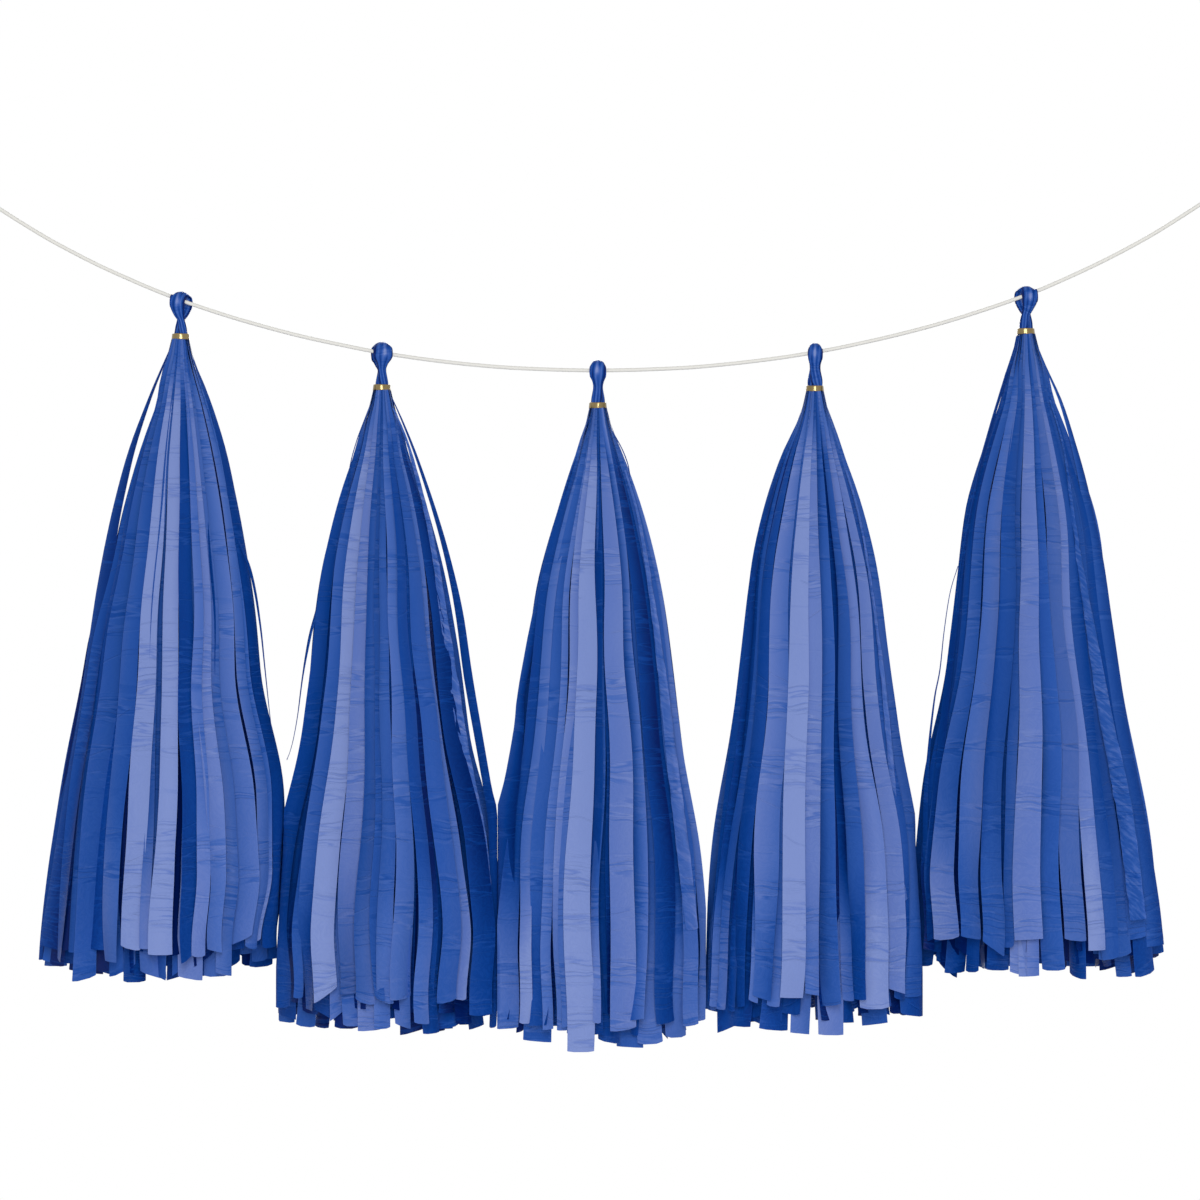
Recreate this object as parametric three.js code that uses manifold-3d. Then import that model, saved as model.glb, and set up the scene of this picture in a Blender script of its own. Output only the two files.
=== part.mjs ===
// A garland of five paper tassels that hang on one string.
// Millimetres. X runs along the garland, Y away from the viewer, Z up.
// The origin is the point where a hook holds the bight of the left hanging loop.
import * as THREE from 'three';
import { mergeVertices } from 'three/addons/utils/BufferGeometryUtils.js';
import Module from 'manifold-3d';

const wasm = await Module();
wasm.setup();

// Clearance between pieces that touch on the real garland
const seatGap = 0.3;

// String: its centreline in X and Z, from the left knot's middle to the right knot's
const stringDiameter = 2;
const stringRoute = [
  [18.6, -13.4], [33.9, -23.7], [46.7, -31.8], [59.4, -39.4], [72.2, -46.3],
  [84.9, -52.7], [97.7, -58.5], [110.4, -64.0], [126.2, -70.2], [144.0, -76.3],
  [161.4, -81.6], [186.9, -88.4], [212.4, -93.9], [228.7, -97.0], [250.7, -100.3],
  [276.2, -103.2], [301.7, -105.0], [338.9, -106.0], [378.2, -104.9], [403.7, -102.9],
  [429.2, -99.9], [449.6, -96.7], [467.4, -93.3], [492.9, -87.5], [518.4, -80.6],
  [543.9, -72.4], [557.2, -67.5], [569.4, -62.7], [594.9, -51.0], [620.4, -37.4],
  [645.4, -21.7], [661.2, -10.8],
];
const stringSides = 8;
const stringSteps = 68;

// Hooks that hold the two ends, and the hanging loop tied round each
const leftHook = [0, 0];
const rightHook = [679.8, 2.7];
const bightRadius = 4;
const bightPoints = 6;
const hangingLoopSteps = 20;

// Knot at each end: a core, the wraps round it and the cut tail
const knotLength = 7.6;
const knotCoreDiameter = 4.2;
const knotWaistDiameter = 3.2;
const knotSides = 10;
const wrapTurns = 2.5;
const wrapGap = 0.45;
const wrapSteps = 28;
const wrapSides = 5;
const tailLength = 13;
const tailBend = 4;
const tailPoints = 3;

// Tassels: the route point that each hangs at, and how wide its loop looks
const tassels = [
  { place: 8, loopWidth: 11.2 },
  { place: 13, loopWidth: 11.2 },
  { place: 17, loopWidth: 8.6 },
  { place: 21, loopWidth: 8.0 },
  { place: 26, loopWidth: 11.2 },
];

// Loop: the twisted middle of the paper roll, bent over the string
const eyeSlack = 2;
const eyeFlare = 1.5;
const seatSamples = 20;
const loopTopThickness = 2.5;
const loopSideThickness = 2.2;
const loopFootThickness = 4.4;
const loopEdgeThickness = 0.5;
const loopTopWidthShare = 0.66;
const loopFootWidthShare = 0.42;
const loopPleatDepth = 0.35;
const loopPleats = 3;
const loopTwists = 2;
const loopSteps = 18;
const loopOuterPoints = 8;
const loopInnerPoints = 4;
const eyeRadius = stringDiameter / 2 + eyeSlack;

// Neck: both legs of the loop, twisted together and flaring into the band
const pinchDrop = 8.6;
const pinchRadius = 2.1;
const neckTopShare = 0.55;
const neckLobes = 5;
const neckLobeShare = 0.13;
const neckTwist = 1.6;
const neckSteps = 4;
const neckPoints = 15;

// Band: the gold paper ring that holds the roll
const bandDrop = 15.9;
const bandHeight = 3;
const bandInnerRadius = 3.9;
const bandTopWall = 0.3;
const bandBottomWall = 0.6;
const bandBulge = 0.15;
const bandSegments = 20;

// Fringe: three turns of the roll, each cut into strips below the band
const layers = [
  { name: 'outer_fringe', strips: 24, flareShare: 1 },
  { name: 'middle_fringe', strips: 12, flareShare: 0.68 },
  { name: 'inner_fringe', strips: 5, flareShare: 0.34 },
];
const turnThickness = 0.8;
const collarDrop = 0.4;
const stripLength = 333;
const stripWidth = 13;
const stripThickness = 0.4;
const stripCoverShare = 0.82;
const stripLengthShare = 0.035;
const stripFlareShare = 0.08;
const stripYaw = 0.36;
const stripSlant = 3;
const flareRadius = 61;
const tasselGap = 1;

// How far down its length each row of a strip lies, and how far it has flared there
const rowShares = [0.05, 0.2, 0.5, 1];
const flareShares = [0.09, 0.37, 0.66, 1];

// What makes one strip differ from the next
const variationSteps = [12.9898, 78.233, 43758.5453];

const paper = new THREE.MeshStandardMaterial({ color: 0x2f4fa5, roughness: 0.55, metalness: 0 });
const gold = new THREE.MeshStandardMaterial({ color: 0xc9a34e, roughness: 0.3, metalness: 1 });
const twine = new THREE.MeshStandardMaterial({ color: 0xe6e4dc, roughness: 0.85, metalness: 0 });

// A number from -1 to 1 that looks random but is always the same for these two numbers.
function variation(first, second) {
  const [firstStep, secondStep, scatter] = variationSteps;
  const wave = Math.sin(first * firstStep + second * secondStep) * scatter;
  return 2 * (wave - Math.floor(wave)) - 1;
}

function meshGeometry(points, index) {
  const geometry = new THREE.BufferGeometry();
  geometry.setAttribute('position', new THREE.Float32BufferAttribute(points.flat(), 3));
  geometry.setIndex(index);
  geometry.computeVertexNormals();
  return geometry;
}

function toSolid(geometry) {
  const bare = geometry.clone();
  bare.deleteAttribute('normal');
  bare.deleteAttribute('uv');
  const merged = mergeVertices(bare);
  return new wasm.Manifold(new wasm.Mesh({
    numProp: 3,
    vertProperties: new Float32Array(merged.attributes.position.array),
    triVerts: new Uint32Array(merged.index.array),
  }));
}

function fromSolid(solid) {
  const mesh = solid.getMesh();
  const geometry = new THREE.BufferGeometry();
  geometry.setAttribute('position', new THREE.BufferAttribute(mesh.vertProperties, 3));
  geometry.setIndex(new THREE.BufferAttribute(mesh.triVerts, 1));
  geometry.computeVertexNormals();
  return geometry;
}

function addQuad(index, a, b, c, d) {
  index.push(a, b, c);
  index.push(a, c, d);
}

// The skin through rows of points. Each row is an outline with the same number of points.
function addSkin(index, rows, outlinePoints, closesOnItself) {
  const spans = closesOnItself ? rows : rows - 1;
  for (let row = 0; row < spans; row++) {
    const here = row * outlinePoints;
    const next = ((row + 1) % rows) * outlinePoints;
    for (let i = 0; i < outlinePoints; i++) {
      const j = (i + 1) % outlinePoints;
      addQuad(index, here + i, here + j, next + j, next + i);
    }
  }
}

function roundSection(diameter, sides) {
  const shape = new THREE.Shape();
  for (let i = 0; i < sides; i++) {
    const angle = (2 * Math.PI * i) / sides;
    const x = (diameter / 2) * Math.cos(angle);
    const y = (diameter / 2) * Math.sin(angle);
    if (i === 0) shape.moveTo(x, y);
    else shape.lineTo(x, y);
  }
  shape.closePath();
  return shape;
}

function tubeThrough(points, sides, steps) {
  const extrudePath = new THREE.CatmullRomCurve3(points, false, 'centripetal');
  return new THREE.ExtrudeGeometry(roundSection(stringDiameter, sides), { steps, extrudePath });
}

function inPlane([x, z]) {
  return new THREE.Vector3(x, 0, z);
}

function toLathePoint([radius, height]) {
  return new THREE.Vector2(radius, height);
}

// Where one end of the string is tied: its knot, the way the string leaves it and its hook
function tiedEnd(knotPoint, nextPoint, hookPoint) {
  const knot = inPlane(knotPoint);
  const hook = inPlane(hookPoint);
  return {
    knot,
    hook,
    alongString: inPlane(nextPoint).sub(knot).normalize(),
    toHook: hook.clone().sub(knot).normalize(),
  };
}

const routeEnd = stringRoute.length - 1;
const leftEnd = tiedEnd(stringRoute[0], stringRoute[1], leftHook);
const rightEnd = tiedEnd(stringRoute[routeEnd], stringRoute[routeEnd - 1], rightHook);

function stringGeometry() {
  const points = stringRoute.map(inPlane);
  const faceDistance = knotLength / 2 + seatGap;
  points[0].addScaledVector(leftEnd.alongString, faceDistance);
  points[routeEnd].addScaledVector(rightEnd.alongString, faceDistance);
  return tubeThrough(points, stringSides, stringSteps);
}

// A teardrop: two legs that leave the knot side by side and a round bight at the hook
function hangingLoopGeometry({ knot, hook, toHook }) {
  const aside = new THREE.Vector3(-toHook.z, 0, toHook.x);
  const legOffset = (stringDiameter + seatGap) / 2;
  const faceDistance = knotLength / 2 + seatGap;
  const legStart = (side) => knot.clone()
    .addScaledVector(toHook, faceDistance)
    .addScaledVector(aside, side * legOffset);
  const points = [legStart(1), legStart(1).addScaledVector(toHook, stringDiameter)];
  for (let i = 0; i <= bightPoints; i++) {
    const angle = Math.PI * (i / bightPoints - 1 / 2);
    points.push(hook.clone()
      .addScaledVector(toHook, bightRadius * Math.cos(angle))
      .addScaledVector(aside, -bightRadius * Math.sin(angle)));
  }
  points.push(legStart(-1).addScaledVector(toHook, stringDiameter), legStart(-1));
  return tubeThrough(points, stringSides, hangingLoopSteps);
}

// The knot stands along Z while it is built, with the string leaving upwards. Its cut tail
// runs on from the last wrap and hangs down.
function knotGeometry({ knot, alongString }) {
  const waist = knotWaistDiameter / 2;
  const face = knotCoreDiameter / 2;
  const half = knotLength / 2;
  const shoulder = half - (face - waist);
  const profile = [
    [0, -half], [face, -half], [waist, -shoulder],
    [waist, shoulder], [face, half], [0, half],
  ];
  const core = new THREE.LatheGeometry(profile.map(toLathePoint), knotSides);
  core.rotateX(Math.PI / 2);

  const wrapRadius = waist + stringDiameter / 4;
  const pitch = stringDiameter + wrapGap;
  const downward = Math.sign(alongString.x);
  const endAngle = (-downward * Math.PI) / 2;
  const wraps = [];
  const wrapPoints = wrapTurns * stringSides;
  for (let i = 0; i <= wrapPoints; i++) {
    const angle = endAngle + 2 * Math.PI * (i / stringSides - wrapTurns);
    const height = pitch * (i / stringSides - wrapTurns / 2);
    wraps.push(new THREE.Vector3(wrapRadius * Math.cos(angle), wrapRadius * Math.sin(angle), height));
  }
  const wrapEnd = wraps[wrapPoints];
  for (let i = 1; i <= tailPoints; i++) {
    const share = i / tailPoints;
    wraps.push(new THREE.Vector3(
      wrapEnd.x + downward * tailLength * share,
      wrapEnd.y,
      wrapEnd.z - tailBend * share * share,
    ));
  }

  const solid = toSolid(core).add(toSolid(tubeThrough(wraps, wrapSides, wrapSteps)));
  const geometry = fromSolid(solid);
  const upright = new THREE.Vector3(0, 0, 1);
  geometry.applyQuaternion(new THREE.Quaternion().setFromUnitVectors(upright, alongString));
  geometry.translate(knot.x, knot.y, knot.z);
  return geometry;
}

// The eye is round about X everywhere, so the loop can swing on a sloping string.
function eyeRadiusAt(x, halfWidth) {
  const across = Math.min(Math.abs(x) / halfWidth, 1);
  return eyeRadius + eyeFlare * (1 - Math.sqrt(1 - across * across));
}

// How far the string's middle lies above the eye's where the loop rests on it
function seatHeight(halfWidth, slope) {
  const stringReach = (stringDiameter / 2) * Math.hypot(1, slope);
  let room = eyeRadius;
  for (let i = 0; i <= seatSamples; i++) {
    const x = (halfWidth * i) / seatSamples;
    room = Math.min(room, eyeRadiusAt(x, halfWidth) - stringReach - x * Math.abs(slope));
  }
  return room - seatGap;
}

// One outline of the loop's bundle, in the plane through the eye's axis at this angle
function loopOutline(angle, halfWidth) {
  const up = Math.cos(angle);
  const down = Math.max(-up, 0);
  const widthShare = up > 0 ? loopTopWidthShare : loopFootWidthShare;
  const width = halfWidth * (1 - (1 - widthShare) * up * up);
  const thickness = up > 0
    ? loopSideThickness + (loopTopThickness - loopSideThickness) * up * up
    : loopSideThickness + (loopFootThickness - loopSideThickness) * down ** 3;
  const edge = eyeRadiusAt(width, halfWidth) + loopEdgeThickness;
  const outer = eyeRadius + thickness;
  const outline = [];
  for (let i = 0; i < loopOuterPoints; i++) {
    const across = (2 * i) / (loopOuterPoints - 1) - 1;
    const crown = Math.cos((across * Math.PI) / 2);
    const pleat = loopPleatDepth * Math.cos(Math.PI * loopPleats * across + loopTwists * angle);
    outline.push([width * Math.sin((across * Math.PI) / 2), edge + (outer - edge + pleat) * crown]);
  }
  for (let i = 0; i < loopInnerPoints; i++) {
    const x = width * (1 - (2 * i) / (loopInnerPoints - 1));
    outline.push([x, eyeRadiusAt(x, halfWidth)]);
  }
  return outline.map(([x, r]) => [x, r * Math.sin(angle), r * Math.cos(angle)]);
}

function loopRingGeometry(halfWidth) {
  const points = [];
  const index = [];
  for (let step = 0; step < loopSteps; step++) {
    points.push(...loopOutline((2 * Math.PI * step) / loopSteps, halfWidth));
  }
  addSkin(index, loopSteps, loopOuterPoints + loopInnerPoints, true);
  return meshGeometry(points, index);
}

// The neck's rows, from inside the loop's foot to the middle of the band, as [drop, radius, lobes]
function neckRows() {
  const footDrop = eyeRadius + loopFootThickness / 2;
  const neckRadius = bandInnerRadius - seatGap;
  const rows = [[footDrop, pinchRadius * neckTopShare, 0], [pinchDrop, pinchRadius, 1]];
  for (let i = 1; i <= neckSteps; i++) {
    const share = i / neckSteps;
    const rise = (1 - Math.cos(Math.PI * share)) / 2;
    rows.push([
      pinchDrop + (bandDrop - pinchDrop) * share,
      pinchRadius + (neckRadius - pinchRadius) * rise,
      1 - rise,
    ]);
  }
  rows.push([bandDrop + (bandHeight - seatGap) / 2, neckRadius, 0]);
  return rows;
}

function neckGeometry() {
  const rows = neckRows();
  const points = [];
  const index = [];
  rows.forEach(([drop, radius, lobes], row) => {
    for (let i = 0; i < neckPoints; i++) {
      const angle = (-2 * Math.PI * i) / neckPoints;
      const lobe = Math.cos(neckLobes * angle + (neckTwist * neckLobes * row) / rows.length);
      const r = radius * (1 + neckLobeShare * lobes * lobe);
      points.push([r * Math.cos(angle), r * Math.sin(angle), -drop]);
    }
  });
  addSkin(index, rows.length, neckPoints, false);
  const top = points.push([0, 0, -rows[0][0]]) - 1;
  const bottom = points.push([0, 0, -rows[rows.length - 1][0]]) - 1;
  const lastRow = (rows.length - 1) * neckPoints;
  for (let i = 0; i < neckPoints; i++) {
    const j = (i + 1) % neckPoints;
    index.push(top, j, i);
    index.push(bottom, lastRow + i, lastRow + j);
  }
  return meshGeometry(points, index);
}

function loopGeometry(halfWidth) {
  return fromSolid(toSolid(loopRingGeometry(halfWidth)).add(toSolid(neckGeometry())));
}

function bandGeometry() {
  const top = -bandDrop;
  const bottom = -bandDrop - bandHeight;
  const topRadius = bandInnerRadius + bandTopWall;
  const bottomRadius = bandInnerRadius + bandBottomWall;
  const profile = [
    [bandInnerRadius, bottom],
    [bottomRadius, bottom],
    [(topRadius + bottomRadius) / 2 + bandBulge, (top + bottom) / 2],
    [topRadius, top],
    [bandInnerRadius, top],
    [bandInnerRadius, bottom],
  ];
  const geometry = new THREE.LatheGeometry(profile.map(toLathePoint), bandSegments);
  geometry.rotateX(Math.PI / 2);
  return geometry;
}

// Room that a tassel has between its neighbours: half its width, and how far it leans aside
function roomFor(number) {
  const place = (i) => stringRoute[tassels[i].place][0];
  const middle = (i) => (place(i) + place(i + 1)) / 2;
  const here = place(number);
  const left = number > 0 ? middle(number - 1) + tasselGap / 2 : -Infinity;
  const right = number < tassels.length - 1 ? middle(number) - tasselGap / 2 : Infinity;
  const halfWidth = Math.min(flareRadius, (right - left) / 2);
  const centre = Math.min(Math.max(here, left + halfWidth), right - halfWidth);
  return { halfWidth, lean: centre - here };
}

// The rows of one strip below its collar. A row's four corners go round the strip.
function stripRows(number, layer, layerNumber, strip, collarRadius, top) {
  const { halfWidth, lean } = roomFor(number);
  const seed = number * layers.length + layerNumber;
  const angle = (2 * Math.PI * (strip + 1 / 2)) / layer.strips;
  const length = stripLength * (1 + stripLengthShare * variation(strip, seed));
  const flare = layer.flareShare * (1 - stripFlareShare * Math.abs(variation(strip + layer.strips, seed)));
  const yaw = stripYaw * variation(strip + 2 * layer.strips, seed);
  const slant = stripSlant * variation(strip + 3 * layer.strips, seed);
  const sideRoom = (stripWidth / 2) * Math.sin(stripYaw) + stripThickness / 2;
  const rows = [];
  let drop = 0;
  let lastRadius = collarRadius;
  let lastShare = 0;
  rowShares.forEach((rowShare, row) => {
    const flared = flareShares[row];
    const endX = (halfWidth - sideRoom) * flare;
    const endY = (flareRadius - sideRoom) * flare;
    const radiusX = collarRadius + (endX - collarRadius) * flared;
    const radiusY = collarRadius + (endY - collarRadius) * flared;
    const radius = Math.min(radiusX, radiusY);
    const run = length * (rowShare - lastShare);
    drop += Math.sqrt(run * run - (radius - lastRadius) ** 2);
    lastRadius = radius;
    lastShare = rowShare;

    const turned = angle + yaw * rowShare;
    const width = Math.min(stripWidth, (stripCoverShare * 2 * Math.PI * radius) / layer.strips);
    const slope = row === rowShares.length - 1 ? slant / 2 : 0;
    const corner = (side, out) => [
      lean * flared + radiusX * Math.cos(angle)
        - (side * width / 2) * Math.sin(turned) + (out * stripThickness / 2) * Math.cos(turned),
      radiusY * Math.sin(angle)
        + (side * width / 2) * Math.cos(turned) + (out * stripThickness / 2) * Math.sin(turned),
      top - drop + side * slope,
    ];
    rows.push(corner(-1, 1), corner(1, 1), corner(1, -1), corner(-1, -1));
  });
  return rows;
}

// One turn of the roll: a collar that the band holds, and the strips cut below it
function fringeGeometry(number, layer, layerNumber) {
  const outer = bandInnerRadius - seatGap - layerNumber * (turnThickness + seatGap);
  const inner = outer - turnThickness;
  const top = -bandDrop - (bandHeight + seatGap) / 2;
  const bottom = -bandDrop - bandHeight - collarDrop;
  const points = [];
  const index = [];
  for (let i = 0; i < layer.strips; i++) {
    const angle = (2 * Math.PI * i) / layer.strips;
    const place = (radius, height) => [radius * Math.cos(angle), radius * Math.sin(angle), height];
    points.push(place(outer, top), place(outer, bottom), place(inner, bottom), place(inner, top));
  }
  for (let i = 0; i < layer.strips; i++) {
    const here = 4 * i;
    const next = 4 * ((i + 1) % layer.strips);
    addQuad(index, here, here + 1, next + 1, next);
    addQuad(index, here + 3, next + 3, next + 2, here + 2);
    addQuad(index, here, next, next + 3, here + 3);

    let row = [here + 1, next + 1, next + 2, here + 2];
    const corners = stripRows(number, layer, layerNumber, i, (outer + inner) / 2, bottom);
    for (let corner = 0; corner < corners.length; corner += 4) {
      const start = points.push(...corners.slice(corner, corner + 4)) - 4;
      const below = [start, start + 1, start + 2, start + 3];
      // Front and back split along the same diagonal, so a twisted strip stays equally thick.
      addQuad(index, row[0], below[0], below[1], row[1]);
      addQuad(index, row[1], below[1], below[2], row[2]);
      addQuad(index, below[2], below[3], row[3], row[2]);
      addQuad(index, row[3], below[3], below[0], row[0]);
      row = below;
    }
    addQuad(index, row[3], row[2], row[1], row[0]);
  }
  return meshGeometry(points, index);
}

function named(name, geometry, material) {
  const mesh = new THREE.Mesh(geometry, material);
  mesh.name = name;
  return mesh;
}

function stringSlope(place) {
  const [beforeX, beforeZ] = stringRoute[place - 1];
  const [afterX, afterZ] = stringRoute[place + 1];
  return (afterZ - beforeZ) / (afterX - beforeX);
}

// A tassel is built about the middle of its loop's eye, which is where it swings.
function tassel({ place, loopWidth }, number) {
  const group = new THREE.Group();
  const prefix = `tassel_${number + 1}`;
  const [x, z] = stringRoute[place];
  group.position.set(x, 0, z - seatHeight(loopWidth / 2, stringSlope(place)));
  group.add(named(`${prefix}_loop`, loopGeometry(loopWidth / 2), paper));
  group.add(named(`${prefix}_band`, bandGeometry(), gold));
  layers.forEach((layer, layerNumber) => {
    group.add(named(`${prefix}_${layer.name}`, fringeGeometry(number, layer, layerNumber), paper));
  });
  return group;
}

const garland = new THREE.Group();
garland.add(named('string', stringGeometry(), twine));
garland.add(named('left_knot', knotGeometry(leftEnd), twine));
garland.add(named('right_knot', knotGeometry(rightEnd), twine));
garland.add(named('left_hanging_loop', hangingLoopGeometry(leftEnd), twine));
garland.add(named('right_hanging_loop', hangingLoopGeometry(rightEnd), twine));
tassels.forEach((sizes, number) => garland.add(tassel(sizes, number)));

export default garland;
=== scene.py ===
import math
import bpy
import numpy as np
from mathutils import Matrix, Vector


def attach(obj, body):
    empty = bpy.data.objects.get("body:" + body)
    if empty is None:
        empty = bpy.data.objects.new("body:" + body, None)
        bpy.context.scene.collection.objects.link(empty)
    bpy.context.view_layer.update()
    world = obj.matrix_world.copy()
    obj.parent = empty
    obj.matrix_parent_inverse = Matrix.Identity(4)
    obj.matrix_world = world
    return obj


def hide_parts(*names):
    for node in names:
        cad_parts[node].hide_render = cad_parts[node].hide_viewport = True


# Looks of the tassel garland. Metres, in the frame of the CAD model.
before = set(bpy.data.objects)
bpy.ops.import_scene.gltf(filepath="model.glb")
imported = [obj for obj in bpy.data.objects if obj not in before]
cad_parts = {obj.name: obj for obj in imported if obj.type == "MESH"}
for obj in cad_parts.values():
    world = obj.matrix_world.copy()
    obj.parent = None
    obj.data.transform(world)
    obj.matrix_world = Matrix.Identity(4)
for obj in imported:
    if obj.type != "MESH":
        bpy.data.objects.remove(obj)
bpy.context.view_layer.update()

MM = 0.001
METRES_PER_PIXEL = 0.51 * MM
ORIGIN_PIXEL = (-66.5, 162.6)
PICTURE_CENTRE_PIXEL = (600, 600)
CAMERA_DISTANCE = 2.5
SENSOR = 36
SEED = 11


def seen_at(pixel_x, pixel_y, depth):
    """The point at this depth that the camera sees at a pixel of the photograph."""
    middle_x, middle_z = picture_place(*PICTURE_CENTRE_PIXEL)
    x, z = picture_place(pixel_x, pixel_y)
    nearness = (CAMERA_DISTANCE + depth) / CAMERA_DISTANCE
    return middle_x + (x - middle_x) * nearness, middle_z + (z - middle_z) * nearness


def picture_place(pixel_x, pixel_y):
    x = (pixel_x - ORIGIN_PIXEL[0]) * METRES_PER_PIXEL
    z = -(pixel_y - ORIGIN_PIXEL[1]) * METRES_PER_PIXEL
    return x, z


def add_object(name, data):
    obj = bpy.data.objects.new(name, data)
    bpy.context.scene.collection.objects.link(obj)
    return obj


def add_camera():
    data = bpy.data.cameras.new("camera")
    data.sensor_width = SENSOR
    data.lens = SENSOR * CAMERA_DISTANCE / (2 * PICTURE_CENTRE_PIXEL[0] * METRES_PER_PIXEL)
    camera = add_object("camera", data)
    x, z = picture_place(*PICTURE_CENTRE_PIXEL)
    camera.location = (x, -CAMERA_DISTANCE, z)
    camera.rotation_euler = (math.pi / 2, 0, 0)
    bpy.context.scene.camera = camera


# Meshes

STEPS_BETWEEN = 12


def make_mesh(name, points, faces, material, attributes):
    mesh = bpy.data.meshes.new(name)
    mesh.from_pydata(points.tolist(), [], faces)
    for key, values in attributes.items():
        layer = mesh.attributes.new(key, "FLOAT", "POINT")
        layer.data.foreach_set("value", np.full(len(points), values, np.float32))
    mesh.materials.append(material)
    mesh.shade_smooth()
    return add_object(name, mesh)


def put_in_place(piece, body, node):
    """The piece rides on a body and is shown instead of a node of the CAD model."""
    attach(piece, body)
    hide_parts(node)
    return piece


def grid_faces(rows, columns, closed=False):
    faces = []
    spans = columns if closed else columns - 1
    for row in range(rows - 1):
        here = row * columns
        below = here + columns
        for column in range(spans):
            right = (column + 1) % columns
            faces.append((here + column, below + column, below + right, here + right))
    return faces


def tube_faces(rows, sides):
    """The wall of a tube and its two ends."""
    last = (rows - 1) * sides
    first_end = tuple(range(sides))
    last_end = tuple(last + i for i in reversed(range(sides)))
    return grid_faces(rows, sides, closed=True) + [first_end, last_end]


def smooth_step(values, low, high):
    share = np.clip((np.asarray(values, float) - low) / (high - low), 0, 1)
    return share * share * (3 - 2 * share)


def within(values, rise, fall):
    """0, up to 1 over the two values of rise, and down to 0 again over those of fall."""
    return smooth_step(values, *rise) * (1 - smooth_step(values, *fall))


def lengths_along(points):
    """How far along their line each point is."""
    return np.concatenate([[0], np.cumsum(np.linalg.norm(np.diff(points, axis=0), axis=1))])


def directions_along(points):
    ahead = np.gradient(points, axis=0)
    return ahead / np.linalg.norm(ahead, axis=1)[:, None]


def round_angles(count):
    return np.linspace(0, 2 * math.pi, count, endpoint=False)


def swept(centres, across, up, sideways, upwards):
    """The points of a section that is carried along the centres."""
    return (centres[:, None, :] + sideways[:, :, None] * across[:, None, :]
            + upwards[:, :, None] * up[:, None, :])


def with_ends(points):
    """The points, and one more in line at each end."""
    return np.vstack([2 * points[0] - points[1], points, 2 * points[-1] - points[-2]])


def between(a, b, c, d, share):
    """The place at this share of the way from b to c, on a smooth curve through all four."""
    return 0.5 * (2 * b + (c - a) * share + (2 * a - 5 * b + 4 * c - d) * share ** 2
                  + (3 * b - a - 3 * c + d) * share ** 3)


def spline(points, samples):
    """Points evenly spaced along a smooth curve through the given points, and its length."""
    stations = with_ends(np.asarray(points, float))
    fine = [between(*stations[i:i + 4], share) for i in range(len(points) - 1)
            for share in np.linspace(0, 1, STEPS_BETWEEN, endpoint=False)]
    fine = np.array(fine + [stations[-2]])
    length = lengths_along(fine)
    at = np.linspace(0, length[-1], samples)
    return np.column_stack([np.interp(at, length, axis) for axis in fine.T]), length[-1]


# Materials


class Value:
    """What comes out of a node. Adding, subtracting or multiplying it adds a node."""

    def __init__(self, nodes, socket):
        self.nodes = nodes
        self.socket = socket

    def __add__(self, other):
        return self.nodes.math("ADD", self, other)

    def __sub__(self, other):
        return self.nodes.math("SUBTRACT", self, other)

    def __mul__(self, other):
        return self.nodes.math("MULTIPLY", self, other)


class Nodes:
    """A short way to write the nodes of a material, or of the world."""

    def __init__(self, owner, shader="Principled BSDF"):
        owner.use_nodes = True
        self.tree = owner.node_tree
        self.shader = self.tree.nodes[shader]

    def add(self, kind, output, inputs=None, **settings):
        node = self.tree.nodes.new(kind)
        for key, value in settings.items():
            setattr(node, key, value)
        for key, value in (inputs or {}).items():
            self.put(node.inputs[key], value)
        return Value(self, node.outputs[output])

    def put(self, socket, value):
        if isinstance(value, Value):
            self.tree.links.new(value.socket, socket)
        else:
            socket.default_value = value

    def attribute(self, name):
        return self.add("ShaderNodeAttribute", "Fac", attribute_name=name)

    def math(self, operation, *values):
        return self.add("ShaderNodeMath", 0, dict(enumerate(values)), operation=operation)

    def steps(self, value, low, high, to_low=0.0, to_high=1.0):
        inputs = {"Value": value, "From Min": low, "From Max": high,
                  "To Min": to_low, "To Max": to_high}
        return self.add("ShaderNodeMapRange", "Result", inputs, interpolation_type="SMOOTHSTEP")

    def line(self, value, middle, reach):
        """1 where the value is at the middle, down to 0 at that reach to either side."""
        return self.steps(self.math("ABSOLUTE", value - middle), 0.0, reach, 1.0, 0.0)

    def vector(self, x, y, z):
        return self.add("ShaderNodeCombineXYZ", 0, {"X": x, "Y": y, "Z": z})

    def noise(self, vector, scale=1.0, detail=1.0, roughness=0.5, distortion=0.0):
        inputs = {"Vector": vector, "Scale": scale, "Detail": detail,
                  "Roughness": roughness, "Distortion": distortion}
        return self.add("ShaderNodeTexNoise", "Fac", inputs)

    def ramp(self, value, stops):
        color = self.add("ShaderNodeValToRGB", "Color", {"Fac": value})
        elements = color.socket.node.color_ramp.elements
        while len(elements) < len(stops):
            elements.new(0.5)
        for element, (place, stop_color) in zip(elements, stops):
            element.position = place
            element.color = stop_color
        return color

    def blend_colors(self, factor, first, second):
        return self.add("ShaderNodeMix", 2, {0: factor, 6: first, 7: second}, data_type="RGBA")

    def relief(self, height, strength, depth):
        inputs = {"Height": height, "Strength": strength, "Distance": depth}
        self.put(self.shader.inputs["Normal"], self.add("ShaderNodeBump", "Normal", inputs))

    def look(self, color, roughness, gloss=0.5):
        self.put(self.shader.inputs["Base Color"], color)
        self.put(self.shader.inputs["Roughness"], roughness)
        self.put(self.shader.inputs["Specular IOR Level"], gloss)


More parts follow.
